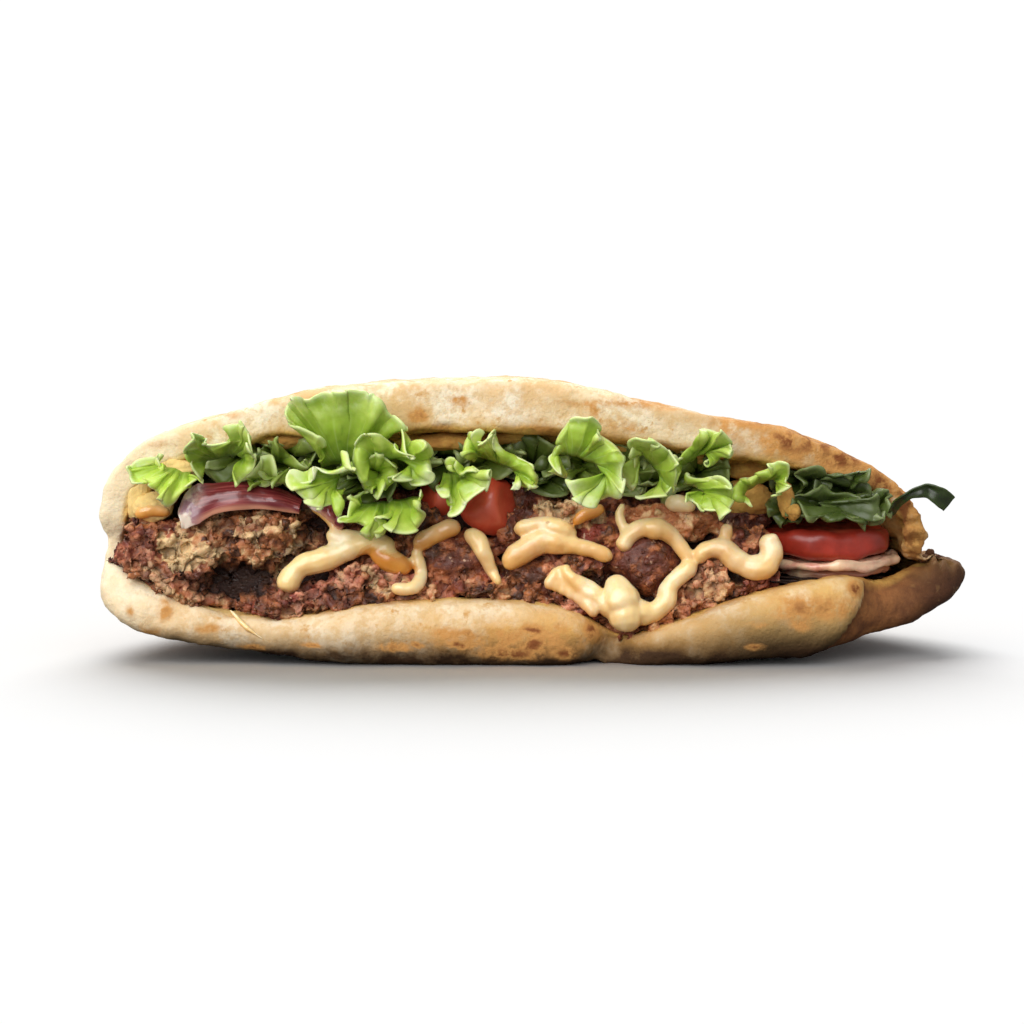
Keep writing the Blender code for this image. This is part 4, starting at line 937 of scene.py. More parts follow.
def piece_and_lumps(index, piece, draw):
    """One piece as rough balls, and places on it with their paleness, redness and crumbliness."""
    x, z, half_x, half_z, pale, red, rough, back = piece
    size = 0.90 + 0.10 * (1 - rough)
    deep = half_x if half_x <= SMALL_PIECE else PIECE_DEPTH
    centre = Vector((x, front_of_piece(z) + deep + back, z))
    radii = Vector((half_x * size, half_x if half_x <= SMALL_PIECE else PIECE_DEPTH * size, half_z * size))
    balls = [ball("piece", centre, radii, 5, PIECE_ROUGH, (index * 7.3, index * 3.1, index * 5.7))]
    known = []
    for _ in range(PIECE_SPOTS):
        away = Vector(draw.normal(0, 1, 3)).normalized()
        known.append((centre + Vector((a * r for a, r in zip(away, radii))), pale, red, rough))
    for k, (place, radius, *kind) in enumerate(lumps_of(piece, draw)):
        stretched = radius * draw.uniform(*LUMP_STRETCH, 3)
        balls.append(ball("lump", place, stretched, 3, LUMP_ROUGH, (k * 3.7, index * 2.9, k * 1.3)))
        known.append((place, *kind))
    return balls, known


def nearest_kind(points, known):
    """For each point, the numbers of the nearest known place."""
    near = KDTree(len(known))
    for k, row in enumerate(known):
        near.insert(row[0], k)
    near.balance()
    return np.array([known[near.find(p)[1]][1:] for p in points])


def cave_depth(points):
    """How deep the hollows between the pieces are at each point; this depth also sets their painted shade."""
    cave = np.zeros(len(points))
    for x, z, half_x, half_z, deep in CAVES:
        reach = ((points[:, 0] - x) / half_x) ** 2 + ((points[:, 2] - z) / half_z) ** 2
        cave = np.maximum(cave, deep * np.exp(-(reach**2)))
    return cave


def meat_piece_surface():
    """The pieces that show, crumbly with lumps and cracks, as one fused surface."""
    draw = np.random.default_rng(11)
    balls, known = [], []
    for index, piece in enumerate(all_pieces(draw)):
        more_balls, more_known = piece_and_lumps(index, piece, draw)
        balls += more_balls
        known += more_known
    made = fused(joined("meat_pieces", balls), MEAT_VOXEL)
    points = points_of(made)
    pale, red, crumbly = nearest_kind(points, known).T
    rough = 0.15 + 0.85 * crumbly
    large, small = (cracked(points, size, 5.0) for size, _ in CRACKS)
    small *= smooth(unevenness(points, 9.0, 1.0, 3.0), -0.25, 0.35)
    fine = waves(points, MEAT_WAVES, 90.0) * (0.3 + 0.7 * crumbly)
    sunk = (large * CRACKS[0][1] + small * CRACKS[1][1]) * rough
    cave = cave_depth(points)
    moved = points + normals_of(made) * (fine - sunk)[:, None]
    moved[:, 1] += cave * (points[:, 1] < CAVE_LIMIT_Y)
    move_points(made, moved)
    give_values(made, "tone", pale)
    give_values(made, "red", red)
    # Painted shade: the value deep darkens the cracks and hollows.
    give_values(made, "deep", np.clip(0.6 * large * rough + 0.30 * small * rough + cave / 7.0, 0, 1))
    return made


def meat_core():
    """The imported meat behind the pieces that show, out to the pocket's inside."""
    _, inner, y = rim_loops(4)
    centre = np.array([POLE_X, POLE_Z])
    inward = centre - inner
    inward[:, 0] = np.clip(inward[:, 0], -CORE_LEAN, CORE_LEAN)
    inward /= np.linalg.norm(inward, axis=1)[:, None]
    loop = inner + inward * CORE_INSET
    loop[:, 1] = np.minimum(loop[:, 1], [height_at(x, CORE_TOP) for x in loop[:, 0]])
    count = CORE_RINGS * 8
    depth = POCKET_DEPTH - BACK_WALL - CORE_INSET - CORE_FRONT
    rings = [pocket_ring(loop, y + CORE_FRONT, CORE_LAST_RING * i / count, depth) for i in range(count + 1)]
    grid = np.stack(rings)
    rows, columns = grid.shape[:2]
    flat = grid.reshape(-1, 3)
    front = (POLE_X, float(y.mean()) + CORE_FRONT, float(loop[:, 1].mean()))
    back = (POLE_X, float(rings[-1][:, 1].max()) + 2.0, POLE_Z)
    points = flat + grid_normals(grid).reshape(-1, 3) * waves(flat, CORE_WAVES)[:, None]
    points = np.vstack([points, [front, back]])
    values = {key: np.full(len(points), value) for key, value in CORE_TONES.items()}
    return object_from("meat_core", points, quads(rows, columns, True) + end_fans(rows, columns), values)


def laid_on_front(tree, x, z, radius):
    """Where a strand of that radius lies when it is laid on the heap from the front."""
    hit = tree.ray_cast(Vector((x * MM, -SAUCE_REACH * MM, z * MM)), Vector((0, 1, 0)))[0]
    y = hit.y / MM if hit else front_of_piece(z)
    return min(y, front_of_piece(z) + SAUCE_DROOPS) - radius * (1 - SAUCE_SUNK)


def strand_curve(places, level, sizes):
    """A curve through the places, as thick as the sizes, with rounded ends and a little unevenness."""
    curve = bpy.data.curves.new("strand", "CURVE")
    curve.dimensions = "3D"
    curve.bevel_depth = MM
    curve.bevel_resolution = 4
    curve.use_fill_caps = True
    spline = curve.splines.new("POLY")
    count = len(places) - 1
    spline.points.add(count)
    for k, ((x, z), y, size) in enumerate(zip(places, level, sizes)):
        end = min(k, count - k) / SAUCE_STEPS_PER_MM
        rounded = math.sqrt(max(0.0, 1 - (1 - min(1.0, end / size)) ** 2))
        wobble = 1 + SAUCE_WOBBLE[1] * noise.noise(Vector((x, y, z)) / SAUCE_WOBBLE[0])
        spline.points[k].co = (x * MM, y * MM, z * MM, 1.0)
        spline.points[k].radius = max(0.25, rounded) * wobble * size
    return curve


def sauce_strand(strand, tree):
    """A strand of thick sauce along its route, laid on the heap, as a closed tube."""
    *radii, _, route = strand
    radii = [size + SAUCE_FULLER for size in radii]
    length = sum(math.dist(a, b) for a, b in zip(route, route[1:]))
    count = max(8, round(length * SAUCE_STEPS_PER_MM))
    places = [open_spline(route, k / count) for k in range(count + 1)]
    sizes = [float(np.interp(k / count, (0.0, 0.45, 1.0), radii)) for k in range(count + 1)]
    depths = np.array([laid_on_front(tree, x, z, size) for (x, z), size in zip(places, sizes)])
    level = [depths[max(0, k - SAUCE_EVENED): k + SAUCE_EVENED + 1].mean() for k in range(count + 1)]
    tube = new_object("strand", strand_curve(places, level, sizes))
    mesh = bpy.data.meshes.new_from_object(tube.evaluated_get(bpy.context.evaluated_depsgraph_get()))
    bpy.data.objects.remove(tube)
    bm = bmesh.new()
    bm.from_mesh(mesh)
    bmesh.ops.remove_doubles(bm, verts=bm.verts, dist=0.02 * MM)
    bmesh.ops.recalc_face_normals(bm, faces=bm.faces)
    return object_of("strand", bm)


def fan_strands():
    """The strands of the fan, each from its point to the front edge."""
    strands = []
    for x, z in FAN_TO:
        middle = ((FAN_FROM[0] + x) / 2, (FAN_FROM[1] + z) / 2)
        strands.append((*FAN_SIZES, FAN_CREAM, (FAN_FROM, middle, (x, z))))
    return strands


def creaminess(points, strands):
    """How creamy the sauce is at each point: the mean of the three nearest places on the strands."""
    shares = [k / 12 for k in range(13)]
    spots = [(*open_spline(strand[4], share), strand[3]) for strand in strands for share in shares]
    near = KDTree(len(spots))
    for k, (x, z, _) in enumerate(spots):
        near.insert((x, z, 0.0), k)
    near.balance()
    return [np.mean([spots[k][2] for _, k, _ in near.find_n((x, z, 0.0), 3)]) for x, _, z in points]


def sauce_piece(tree):
    """All strands, run together where they cross."""
    strands = [*SAUCE, *fan_strands()]
    tubes = joined("sauce_drizzle", [sauce_strand(strand, tree) for strand in strands])
    made = fused(tubes, SAUCE_VOXEL, SAUCE_SOFTENED, 0.6)
    points = points_of(made)
    raise_points(made, waves(points, SAUCE_WAVES))
    give_values(made, "cream", creaminess(points, strands))
    # Painted light: sauce that faces up is drawn creamier, sauce that faces down more orange.
    give_values(made, "painted_top_light", 0.5 + 0.5 * normals_of(made)[:, 2])
    return made


def crumb_sockets(tree):
    """The named inputs and output of the tree that lays crumbs."""
    given = (("Density", "Float", CRUMBS), ("Smallest", "Float", CRUMB_SIZES[0] * MM),
             ("Largest", "Float", CRUMB_SIZES[1] * MM), ("Finish", "Material", None))
    tree.interface.new_socket(name="Geometry", in_out="INPUT", socket_type="NodeSocketGeometry")
    for name, kind, value in given:
        socket = tree.interface.new_socket(name=name, in_out="INPUT", socket_type="NodeSocket" + kind)
        if value is not None:
            socket.default_value = value
    tree.interface.new_socket(name="Geometry", in_out="OUTPUT", socket_type="NodeSocketGeometry")
    return tree.nodes.new("NodeGroupInput").outputs, tree.nodes.new("NodeGroupOutput").inputs


def crumb_shape(tree, where):
    """One rough ball, pushed in and out by noise: it is laid again and again."""
    ball_mesh = put(tree, "GeometryNodeMeshIcoSphere", {"Subdivisions": 2, "Radius": 1.0}).outputs["Mesh"]
    rough = put(tree, "ShaderNodeTexNoise", {"Scale": 1.7}).outputs[0]
    centred = put(tree, "ShaderNodeMath", {0: rough, 1: 2.6, 2: -1.3}, operation="MULTIPLY_ADD").outputs[0]
    push = put(tree, "ShaderNodeVectorMath", {0: where, "Scale": centred}, operation="SCALE").outputs[0]
    return put(tree, "GeometryNodeSetPosition", {"Geometry": ball_mesh, "Offset": push}).outputs["Geometry"]


def crumb_tree():
    """A tree of nodes that lays small rough crumbs over a surface, away from its back."""
    tree = bpy.data.node_groups.new("crumbs_on_meat", "GeometryNodeTree")
    given, result = crumb_sockets(tree)
    where = tree.nodes.new("GeometryNodeInputPosition").outputs[0]
    along_y = put(tree, "ShaderNodeSeparateXYZ", {0: where}).outputs["Y"]
    forward = put(tree, "FunctionNodeCompare", {"A": along_y, "B": CRUMB_LIMIT_Y * MM},
                  data_type="FLOAT", operation="LESS_THAN").outputs[0]
    laid = put(tree, "GeometryNodeDistributePointsOnFaces", {
        "Mesh": given["Geometry"], "Selection": forward, "Density": given["Density"], "Seed": CRUMB_SEED})
    sizes = {2: given["Smallest"], 3: given["Largest"]}
    size = put(tree, "FunctionNodeRandomValue", sizes, data_type="FLOAT")
    turn = put(tree, "FunctionNodeRandomValue", data_type="FLOAT_VECTOR")
    turn.inputs["Max"].default_value = (FULL_TURN, FULL_TURN, FULL_TURN)
    copies = put(tree, "GeometryNodeInstanceOnPoints", {
        "Points": laid.outputs["Points"], "Instance": crumb_shape(tree, where), "Rotation": turn.outputs[0],
        "Scale": size.outputs[1]})
    real = put(tree, "GeometryNodeRealizeInstances", {"Geometry": copies.outputs["Instances"]})
    finish = put(tree, "GeometryNodeSetMaterial", {
        "Geometry": real.outputs["Geometry"], "Material": given["Finish"]})
    tree.links.new(finish.outputs["Geometry"], result["Geometry"])
    return tree


def crumbs_piece(meat, finish):
    """Loose crumbs on the front of the meat."""
    made = new_object("meat_crumbs", meat.data.copy())
    laid = made.modifiers.new("crumbs", "NODES")
    laid.node_group = crumb_tree()
    for item in laid.node_group.interface.items_tree:
        if item.name == "Finish":
            laid[item.identifier] = finish
    with_modifiers_applied(made)
    count = len(made.data.vertices)
    draw = np.random.default_rng(2)
    for key, low, high in CRUMB_TONES:
        each = draw.uniform(low, high, count // CRUMB_POINTS + 1)
        give_values(made, key, each.repeat(CRUMB_POINTS)[:count])
    return made


# Tomato and onion.


def lathe(name, profile, place, wobble=0.0, sides=120):
    """A solid turned about its upright axis from a profile of (radius, z), then put in place."""
    points, faces = [], []
    for k in range(sides):
        turn = 2 * math.pi * k / sides
        grow = 1 + wobble * noise.noise(Vector((math.cos(turn), math.sin(turn), 3.0)) * 1.3)
        for radius, z in profile:
            points.append(place @ Vector((math.cos(turn) * radius * grow, math.sin(turn) * radius * grow, z)))
    n = len(profile)
    for k in range(sides):
        j = (k + 1) % sides
        for i in range(n - 1):
            faces.append((k * n + i, j * n + i, j * n + i + 1, k * n + i + 1))
    bm = bmesh.new()
    verts = [bm.verts.new(p * MM) for p in points]
    for face in faces:
        bm.faces.new([verts[i] for i in face])
    bmesh.ops.remove_doubles(bm, verts=bm.verts, dist=0.005 * MM)
    bmesh.ops.recalc_face_normals(bm, faces=bm.faces)
    made = object_of(name, bm)
    made.data.shade_smooth()
    return made


def disc_profile(radius, thick, round_off, steps=8, rings=30):
    """Half the outline of a flat disc with a rounded edge, from the top's middle to the bottom's."""
    half = thick / 2
    top = [(radius * 0.001 + (radius - round_off) * i / rings, half) for i in range(rings + 1)]
    edge = [
        (radius - round_off + round_off * math.sin(t), half - round_off + round_off * math.cos(t))
        for t in (math.pi / 2 * k / steps for k in range(1, steps + 1))
    ]
    upper = top + edge
    return upper + [(r, -z) for r, z in reversed(upper)]


def tomato_slice_piece():
    place = Matrix.Translation((SLICE_X, SLICE_Y, SLICE_Z)) @ Matrix.Rotation(SLICE_TILT, 4, "X")
    profile = disc_profile(SLICE_RADIUS, SLICE_THICK, SLICE_ROUND_OFF)
    made = lathe("tomato_round", profile, place, OUT_OF_ROUND)
    points = points_of(made)
    raise_points(made, waves(points, SLICE_WAVES))
    from_middle = np.hypot(points[:, 0] - SLICE_X, points[:, 1] - SLICE_Y)
    give_values(made, "skin", smooth(from_middle, SLICE_RADIUS - 3.4, SLICE_RADIUS - 1.6))
    return finished(made, tomato_finish(), "tomato", "tomato_slice")


def tomato_wedge_piece(node, wedge):
    x, y, z, radius, turn = wedge
    bm = bmesh.new()
    bmesh.ops.create_uvsphere(bm, u_segments=64, v_segments=48, radius=radius)
    for direction, apart, share in WEDGE_CUTS:
        away = Vector(direction).normalized()
        whole = bm.verts[:] + bm.edges[:] + bm.faces[:]
        middle = away * (apart + share * radius)
        cut = bmesh.ops.bisect_plane(bm, geom=whole, plane_co=middle, plane_no=away, clear_outer=True)
        rim = [e for e in cut["geom_cut"] if isinstance(e, bmesh.types.BMEdge)]
        bmesh.ops.holes_fill(bm, edges=rim)
    place = Matrix.Translation((x, y, z)) @ Matrix.Rotation(math.radians(turn), 4, "Y")
    bmesh.ops.transform(bm, matrix=Matrix.Scale(MM, 4) @ place, verts=bm.verts)
    made = fused(object_of(node + "_skin", bm), WEDGE_VOXEL, WEDGE_SOFTENED)
    points = points_of(made)
    raise_points(made, waves(points, WEDGE_WAVES))
    give_values(made, "skin", np.full(len(points), WEDGE_SKIN))
    return finished(made, tomato_finish(), "tomato", node)


def onion_band(node, route, heights, forward):
    """A strip of an onion's outer layer, arched over the meat with its skin to the front."""
    points, layer, along = [], [], []
    for r in range(BAND_ROWS):
        side = r / (BAND_ROWS - 1) - 0.5
        for c in range(BAND_COLUMNS):
            share = c / (BAND_COLUMNS - 1)
            x, z = open_spline(route, share)
            height = float(np.interp(share, np.linspace(0, 1, len(heights)), heights))
            lift = 0.7 * noise.noise(Vector((share * 7, side * 2, 4.0)))
            points.append((x, forward - 3.0 * side + 6.0 * side * side + lift, z - height * side))
            layer.append(side + 0.5)
            along.append(share)
    faces = quads(BAND_ROWS, BAND_COLUMNS, False)
    made = object_from(node + "_skin", points, faces, {"layer": layer, "along": along})
    thicken(made, BAND_THICK)
    rounded = made.modifiers.new("rounded", "BEVEL")
    rounded.width = BAND_EDGE * MM
    rounded.segments = 3
    rounded.limit_method = "ANGLE"
    with_modifiers_applied(made)
    turn_outwards(made)
    made.data.shade_smooth()
    return finished(made, onion_finish(), "onion", node)


def onion_slice_piece(node, item):
    """A slice across an onion: its layers stand a little proud of each other."""
    x, y, z, radius, thick, purple = item
    place = Matrix.Translation((x, y, z)) @ Matrix.Rotation(ONION_TILT, 4, "X")
    made = lathe(node + "_rings", disc_profile(radius, thick, 1.1, 4, 44), place, OUT_OF_ROUND, 150)
    points = points_of(made)
    radial = np.hypot(points[:, 0] - x, points[:, 1] - y)
    ridge = LAYER_RIDGE * np.cos(radial / radius * 2 * math.pi * ONION_LAYERS)
    sagged = points + normals_of(made) * (ridge + waves(points, ONION_WAVES))[:, None]
    sagged[:, 2] += waves(points, ONION_SAG, 6.0) * smooth(radial, radius * 0.5, radius)
    move_points(made, sagged)
    give_values(made, "layer", 0.80 + 0.20 * np.sin(radial * 1.9))
    give_values(made, "along", 0.12 + purple * smooth(points[:, 0], x - 14.0, x + 6.0))
    return finished(made, onion_finish(), "onion", node)


# Lettuce.


def leaf_grid(roots, tips, count, share):
    """A leaf's points: from the line of its root it comes forward and turns to its frilled edge."""
    first, last = np.array(roots[0]), np.array(roots[1])
    tips = np.array(tips, float)
    tips[1:-1, 1] += TIP_EVENING * ((tips[:-2, 1] + tips[2:, 1]) / 2 - tips[1:-1, 1])
    columns = []
    for c in range(count + 1):
        root, edge = first + (last - first) * c / count, open_spline(tips, c / count)
        turn = (root + edge) / 2
        turn[1] = edge[1] * 0.9 - 6.0
        columns.append([root * (1 - s) ** 2 + turn * 2 * s * (1 - s) + edge * s * s for s in share])
    return np.array(columns).transpose(1, 0, 2)


def frilled(grid, share, seed, calm):
    """The grid of a leaf, ruffled towards its edge, with soft lobes and a rolled rim."""
    rows, columns = grid.shape[:2]
    steps = np.linalg.norm(np.diff(grid[-1], axis=0), axis=1)
    length = np.concatenate([[0.0], np.cumsum(steps)])
    normal = grid_normals(grid, False)
    outward = np.gradient(grid, axis=0)
    outward /= np.linalg.norm(outward, axis=2, keepdims=True) + 1e-9
    sideways = np.gradient(grid, axis=1)
    sideways /= np.linalg.norm(sideways, axis=2, keepdims=True) + 1e-9
    moved = grid.copy()
    (long_lobe, long_high), (short_lobe, short_high) = LOBES
    for c in range(columns):
        at = length[c]
        turn = 2 * math.pi * (at / RUFFLE_LENGTH + 0.9 * noise.noise(Vector((at / 13.0, 0.2, seed))))
        height = calm * RUFFLE_HEIGHT * (0.75 + 0.9 * noise.noise(Vector((at / 11.0, 3.0, seed))))
        rolls = math.tanh(4 * noise.noise(Vector((at / 9.0, 0.3, seed + 8.0))))
        for r in range(rows):
            s = share[r]
            near = Vector(grid[r, c])
            wave = height * s**1.6 * math.sin(turn + 1.2 * s)
            wave += 1.1 * s**3 * noise.noise(Vector((at / 3.2, s, seed)))
            wave += RIM_ROLL * max(0.0, (s - RIM_FROM) / RIM_WIDTH) ** 2 * rolls
            wave += 0.5 * (1 - s**4) * noise.noise(near / 2.6 + Vector((seed, 0, 0)))
            sway = calm * RUFFLE_SWAY * s**2 * math.sin(2 * turn + 2.4 * s)
            lobe = long_high * s**2 * noise.noise(Vector((at / long_lobe, s * 0.5, seed + 12.0)))
            lobe += short_high * s**6 * noise.noise(Vector((at / short_lobe, s, seed + 16.0)))
            warp = noise.noise_vector(near / LEAF_WARP[0] + Vector((seed, 5.0, 0.0)))
            warp = warp * LEAF_WARP[1] * calm * s
            moved[r, c] += normal[r, c] * wave + sideways[r, c] * sway + outward[r, c] * lobe + np.array(warp)
    return moved


def leaf_surface(name, roots, tips, seed, tone, calm=1.0, per_tip=LEAF_COLUMNS, rows=LEAF_ROWS):
    share = np.linspace(0.0, 1.0, rows) ** ROWS_CROWD
    grid = frilled(leaf_grid(roots, tips, per_tip * (len(tips) - 1), share), share, seed * 3.3, calm)
    columns = grid.shape[1]
    values = {
        "edge": np.repeat(share, columns),
        "vein": np.tile(np.arange(columns) / per_tip, rows),
        "tone": np.full(rows * columns, tone),
    }
    made = object_from(name, grid.reshape(-1, 3), quads(rows, columns, False), values)
    thicken(made, LEAF_THIN)
    return with_modifiers_applied(made)


def leaf_piece(node, tips, seed):
    calm = CALM_LEAVES.get(node, 1.0)
    made = leaf_surface(node + "_leaf", LEAF_ROOTS[node], tips, seed, LEAF_TONES_AND_SHADE[node], calm)
    return finished(made, lettuce_finish(), "lettuce", node)


def folds_piece():
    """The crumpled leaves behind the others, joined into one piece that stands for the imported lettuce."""
    ceiling = sorted((row[2], row[3]) for row in RIM if row[3] > BED_BOTTOM)
    draw = np.random.default_rng(8)
    leaves = []
    for k, (x, z, half_x, half_z, y, tone) in enumerate(FOLDS):
        tips = []
        for i in range(FOLD_TIPS):
            turn = math.radians(FOLD_FROM + FOLD_SWEEP * i / (FOLD_TIPS - 1))
            size = draw.uniform(0.8, 1.15)
            forward = y - (0.0, FOLD_STEP)[i % 2] + draw.uniform(-1.0, 1.0)
            tip_x = x + half_x * size * math.cos(turn)
            high = min(z + half_z * size * math.sin(turn), height_at(tip_x, ceiling) - 0.5)
            tips.append((tip_x, forward, high))
        low = z - half_z * draw.uniform(-0.4, 0.9)
        roots = ((x - half_x * 0.6, y + FOLD_DEEP, low), (x + half_x * 0.6, y + FOLD_DEEP, low))
        calm = DARK_FOLD_CALM if tone < DARK_FOLD else 1.0
        seed = FIRST_FOLD_SEED + k
        leaves.append(leaf_surface("fold", roots, tips, seed, tone, calm, FOLD_COLUMNS, FOLD_ROWS))
    return finished(joined("lettuce_folds", leaves), lettuce_finish(), "lettuce", "lettuce_bed")


def stray_piece(node):
    """The strip of leaf that hangs out of the right end."""
    columns, rows = 90, 16
    grid = np.zeros((rows, columns, 3))
    for c in range(columns):
        share = c / (columns - 1)
        here = open_spline(STRAY_ROUTE, share)
        ahead = open_spline(STRAY_ROUTE, share + 0.02) - open_spline(STRAY_ROUTE, share - 0.02)
        across = np.array([-ahead[2], 0.35 * np.linalg.norm(ahead), ahead[0]])
        width = float(np.interp(share, np.linspace(0, 1, len(STRAY_WIDTH)), STRAY_WIDTH))
        for r in range(rows):
            side = r / (rows - 1) - 0.5
            curl = 1.4 * (4 * side * side) * (1 if side > 0 else -0.4)
            grid[r, c] = here + across / np.linalg.norm(across) * width * side + np.array([0, -curl, 0])
    flat = grid.reshape(-1, 3)
    points = flat + unevenness(flat, 3.0, 0.8)[:, None] * np.array([0.2, 1.0, 0.4])
    share = np.abs(np.linspace(-1, 1, rows))
    values = {
        "edge": np.repeat(share, columns) * 0.8,
        "vein": np.zeros(rows * columns),
        "tone": np.full(rows * columns, LEAF_TONES_AND_SHADE[node]),
    }
    made = object_from(node + "_leaf", points, quads(rows, columns, False), values)
    thicken(made, LEAF_THIN)
    return finished(with_modifiers_applied(made), lettuce_finish(), "lettuce", node)


def bed_grid():
    """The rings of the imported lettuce: first those of its front face, then those running back."""
    top = sorted((x, z) for _, _, x, z, _ in RIM if z > BED_BOTTOM)
    middle, half = sum(BED_X) / 2, (BED_X[1] - BED_X[0]) / 2
    sides, count = BED_SIDES * 12, BED_RINGS * 12
    loop = []
    for k in range(sides):
        turn = 2 * math.pi * k / sides
        x = middle + half * math.cos(turn)
        low, high = BED_BOTTOM, max(height_at(x, top) - BED_UNDER_BREAD, BED_BOTTOM + 3.0)
        rise = math.copysign(abs(math.sin(turn)) ** 0.6, math.sin(turn))
        loop.append((x, (low + high) / 2 + (high - low) / 2 * rise))
    loop = np.array(loop)
    y = np.full(len(loop), MOUTH_Y - 2.0 + BED_FRONT)
    rings = [pocket_ring(loop, y, BED_LAST_RING * i / count, BED_DEPTH) for i in range(count + 1)]
    face = []
    centre = np.mean(rings[0], axis=0)
    for i in range(1, BED_FACE_STEPS):
        share = i / BED_FACE_STEPS
        ring = rings[0] * share + centre * (1 - share)
        ring[:, 1] -= BED_CROWN * (1 - share)
        face.append(ring)
    ends = [centre - (0.0, BED_CROWN, 0.0), np.mean(rings[-1], axis=0) + (0.0, BED_CROWN, 0.0)]
    return np.stack(face + rings), ends


def bed_piece():
    """The lettuce inside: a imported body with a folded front."""
    grid, ends = bed_grid()
    rows, columns = grid.shape[:2]
    flat = grid.reshape(-1, 3)
    near = smooth(-flat[:, 1], 0.0, 16.0)
    folds = np.abs(unevenness(flat * (1.0, 1.0, 0.45), 3.2, 5.0)) * near + unevenness(flat, 7.0, 1.2)
    flat = flat + grid_normals(grid).reshape(-1, 3) * folds[:, None] * 0.5
    flat -= np.outer(folds * near, (0, 1.0, 0))
    points = np.vstack([flat, ends])
    values = {
        "edge": np.append(np.clip(folds / 3.2, 0, 0.93), (0, 0)),
        "vein": np.zeros(len(points)),
        "tone": np.full(len(points), BED_SHADE_TONE),
    }
    faces = quads(rows, columns, True) + end_fans(rows, columns)
    made = object_from("lettuce_inside", points, faces, values)
    return finished(made, lettuce_finish(), "lettuce", "lettuce_bed")


# Finishes.


def put(tree, kind, values=None, **settings):
    """A node, with its settings and the values or links of its inputs."""
    node = tree.nodes.new(kind)
    for key, value in settings.items():
        setattr(node, key, value)
    for key, value in (values or {}).items():
        if isinstance(value, bpy.types.NodeSocket):
            tree.links.new(value, node.inputs[key])
        else:
            node.inputs[key].default_value = value
    return node


def mixed(tree, share, a, b):
    """A colour between a and b."""
    node = tree.nodes.new("ShaderNodeMix")
    node.data_type = "RGBA"
    for index, value in ((0, share), (6, a), (7, b)):
        if isinstance(value, bpy.types.NodeSocket):
            tree.links.new(value, node.inputs[index])
        else:
            node.inputs[index].default_value = (*value, 1.0) if index else value
    return node.outputs[2]


def spread(tree, value, low, high, start=0.0, end=1.0):
    """value from low to high as start to end, held outside."""
    node = put(tree, "ShaderNodeMapRange", {
        "Value": value, "From Min": low, "From Max": high, "To Min": start, "To Max": end})
    node.interpolation_type = "SMOOTHSTEP"
    return node.outputs["Result"]


def maths(tree, operation, a, b=0.0):
    node = put(tree, "ShaderNodeMath", {0: a, 1: b}, operation=operation)
    return node.outputs[0]


def attribute(tree, name):
    return put(tree, "ShaderNodeAttribute", attribute_name=name).outputs["Fac"]


def group_of(name, inputs, outputs):
    """An empty shader group with named float or vector inputs and float outputs."""
    group = bpy.data.node_groups.new(name, "ShaderNodeTree")
    for key, kind, value in inputs:
        socket = group.interface.new_socket(name=key, in_out="INPUT", socket_type="NodeSocket" + kind)
        if kind == "Float":
            socket.default_value = value
    for key in outputs:
        group.interface.new_socket(name=key, in_out="OUTPUT", socket_type="NodeSocketFloat")
    return group, group.nodes.new("NodeGroupInput").outputs, group.nodes.new("NodeGroupOutput")


@cache
def mottle_group():
    """Cloudy patches: a mask from noise between two thresholds."""
    inputs = (
        ("Vector", "Vector", 0), ("Scale", "Float", 80.0), ("Low", "Float", 0.4), ("High", "Float", 0.6),
    )
    group, given, result = group_of("mottle", inputs, ("Mask",))
    cloud = put(group, "ShaderNodeTexNoise", {
        "Vector": given["Vector"], "Scale": given["Scale"], "Detail": 5.0, "Roughness": 0.6})
    group.links.new(spread(group, cloud.outputs[0], given["Low"], given["High"]), result.inputs["Mask"])
    return group


@cache
def grain_group():
    """Fine relief of two sizes: a height for a Bump node."""
    inputs = (("Vector", "Vector", 0), ("Scale", "Float", 400.0), ("Pits", "Float", 0.5))
    group, given, result = group_of("grain", inputs, ("Height",))
    soft = put(group, "ShaderNodeTexNoise", {
        "Vector": given["Vector"], "Scale": given["Scale"], "Detail": 6.0, "Roughness": 0.65})
    cells = put(group, "ShaderNodeTexVoronoi", {"Vector": given["Vector"], "Scale": given["Scale"]})
    pits = spread(group, cells.outputs["Distance"], 0.0, 0.45)
    weighed = maths(group, "MULTIPLY", pits, given["Pits"])
    group.links.new(maths(group, "ADD", soft.outputs[0], weighed), result.inputs["Height"])
    return group


def mottle(tree, where, scale, low, high):
    node = put(tree, "ShaderNodeGroup", node_tree=mottle_group())
    tree.links.new(where, node.inputs["Vector"])
    for key, value in (("Scale", scale), ("Low", low), ("High", high)):
        node.inputs[key].default_value = value
    return node.outputs["Mask"]


def grain(tree, where, scale, pits):
    node = put(tree, "ShaderNodeGroup", node_tree=grain_group())
    tree.links.new(where, node.inputs["Vector"])
    node.inputs["Scale"].default_value = scale
    node.inputs["Pits"].default_value = pits
    return node.outputs["Height"]


def bumped(tree, shader, height, strength, distance):
    bump = put(tree, "ShaderNodeBump", {"Height": height, "Strength": strength, "Distance": distance * MM})
    tree.links.new(bump.outputs[0], shader.inputs["Normal"])


def begun(name, **plain):
    """A new material: its tree, shader and object coordinates."""
    material = bpy.data.materials.new(name)
    material.use_nodes = True
    tree = material.node_tree
    shader = tree.nodes["Principled BSDF"]
    for key, value in plain.items():
        shader.inputs[key.replace("_", " ")].default_value = value
    where = tree.nodes.new("ShaderNodeTexCoord").outputs["Object"]
    return material, tree, shader, where


def soft_light(shader, weight, radius, scale):
    """Light that enters the food and comes out beside."""
    shader.inputs["Subsurface Weight"].default_value = weight
    shader.inputs["Subsurface Radius"].default_value = radius
    shader.inputs["Subsurface Scale"].default_value = scale * MM


def between(tree, value, low, high, start=0.0, end=1.0):
    """value as start to end between two places in millimetres."""
    return spread(tree, value, low * MM, high * MM, start, end)


def times(tree, a, b):
    return maths(tree, "MULTIPLY", a, b)


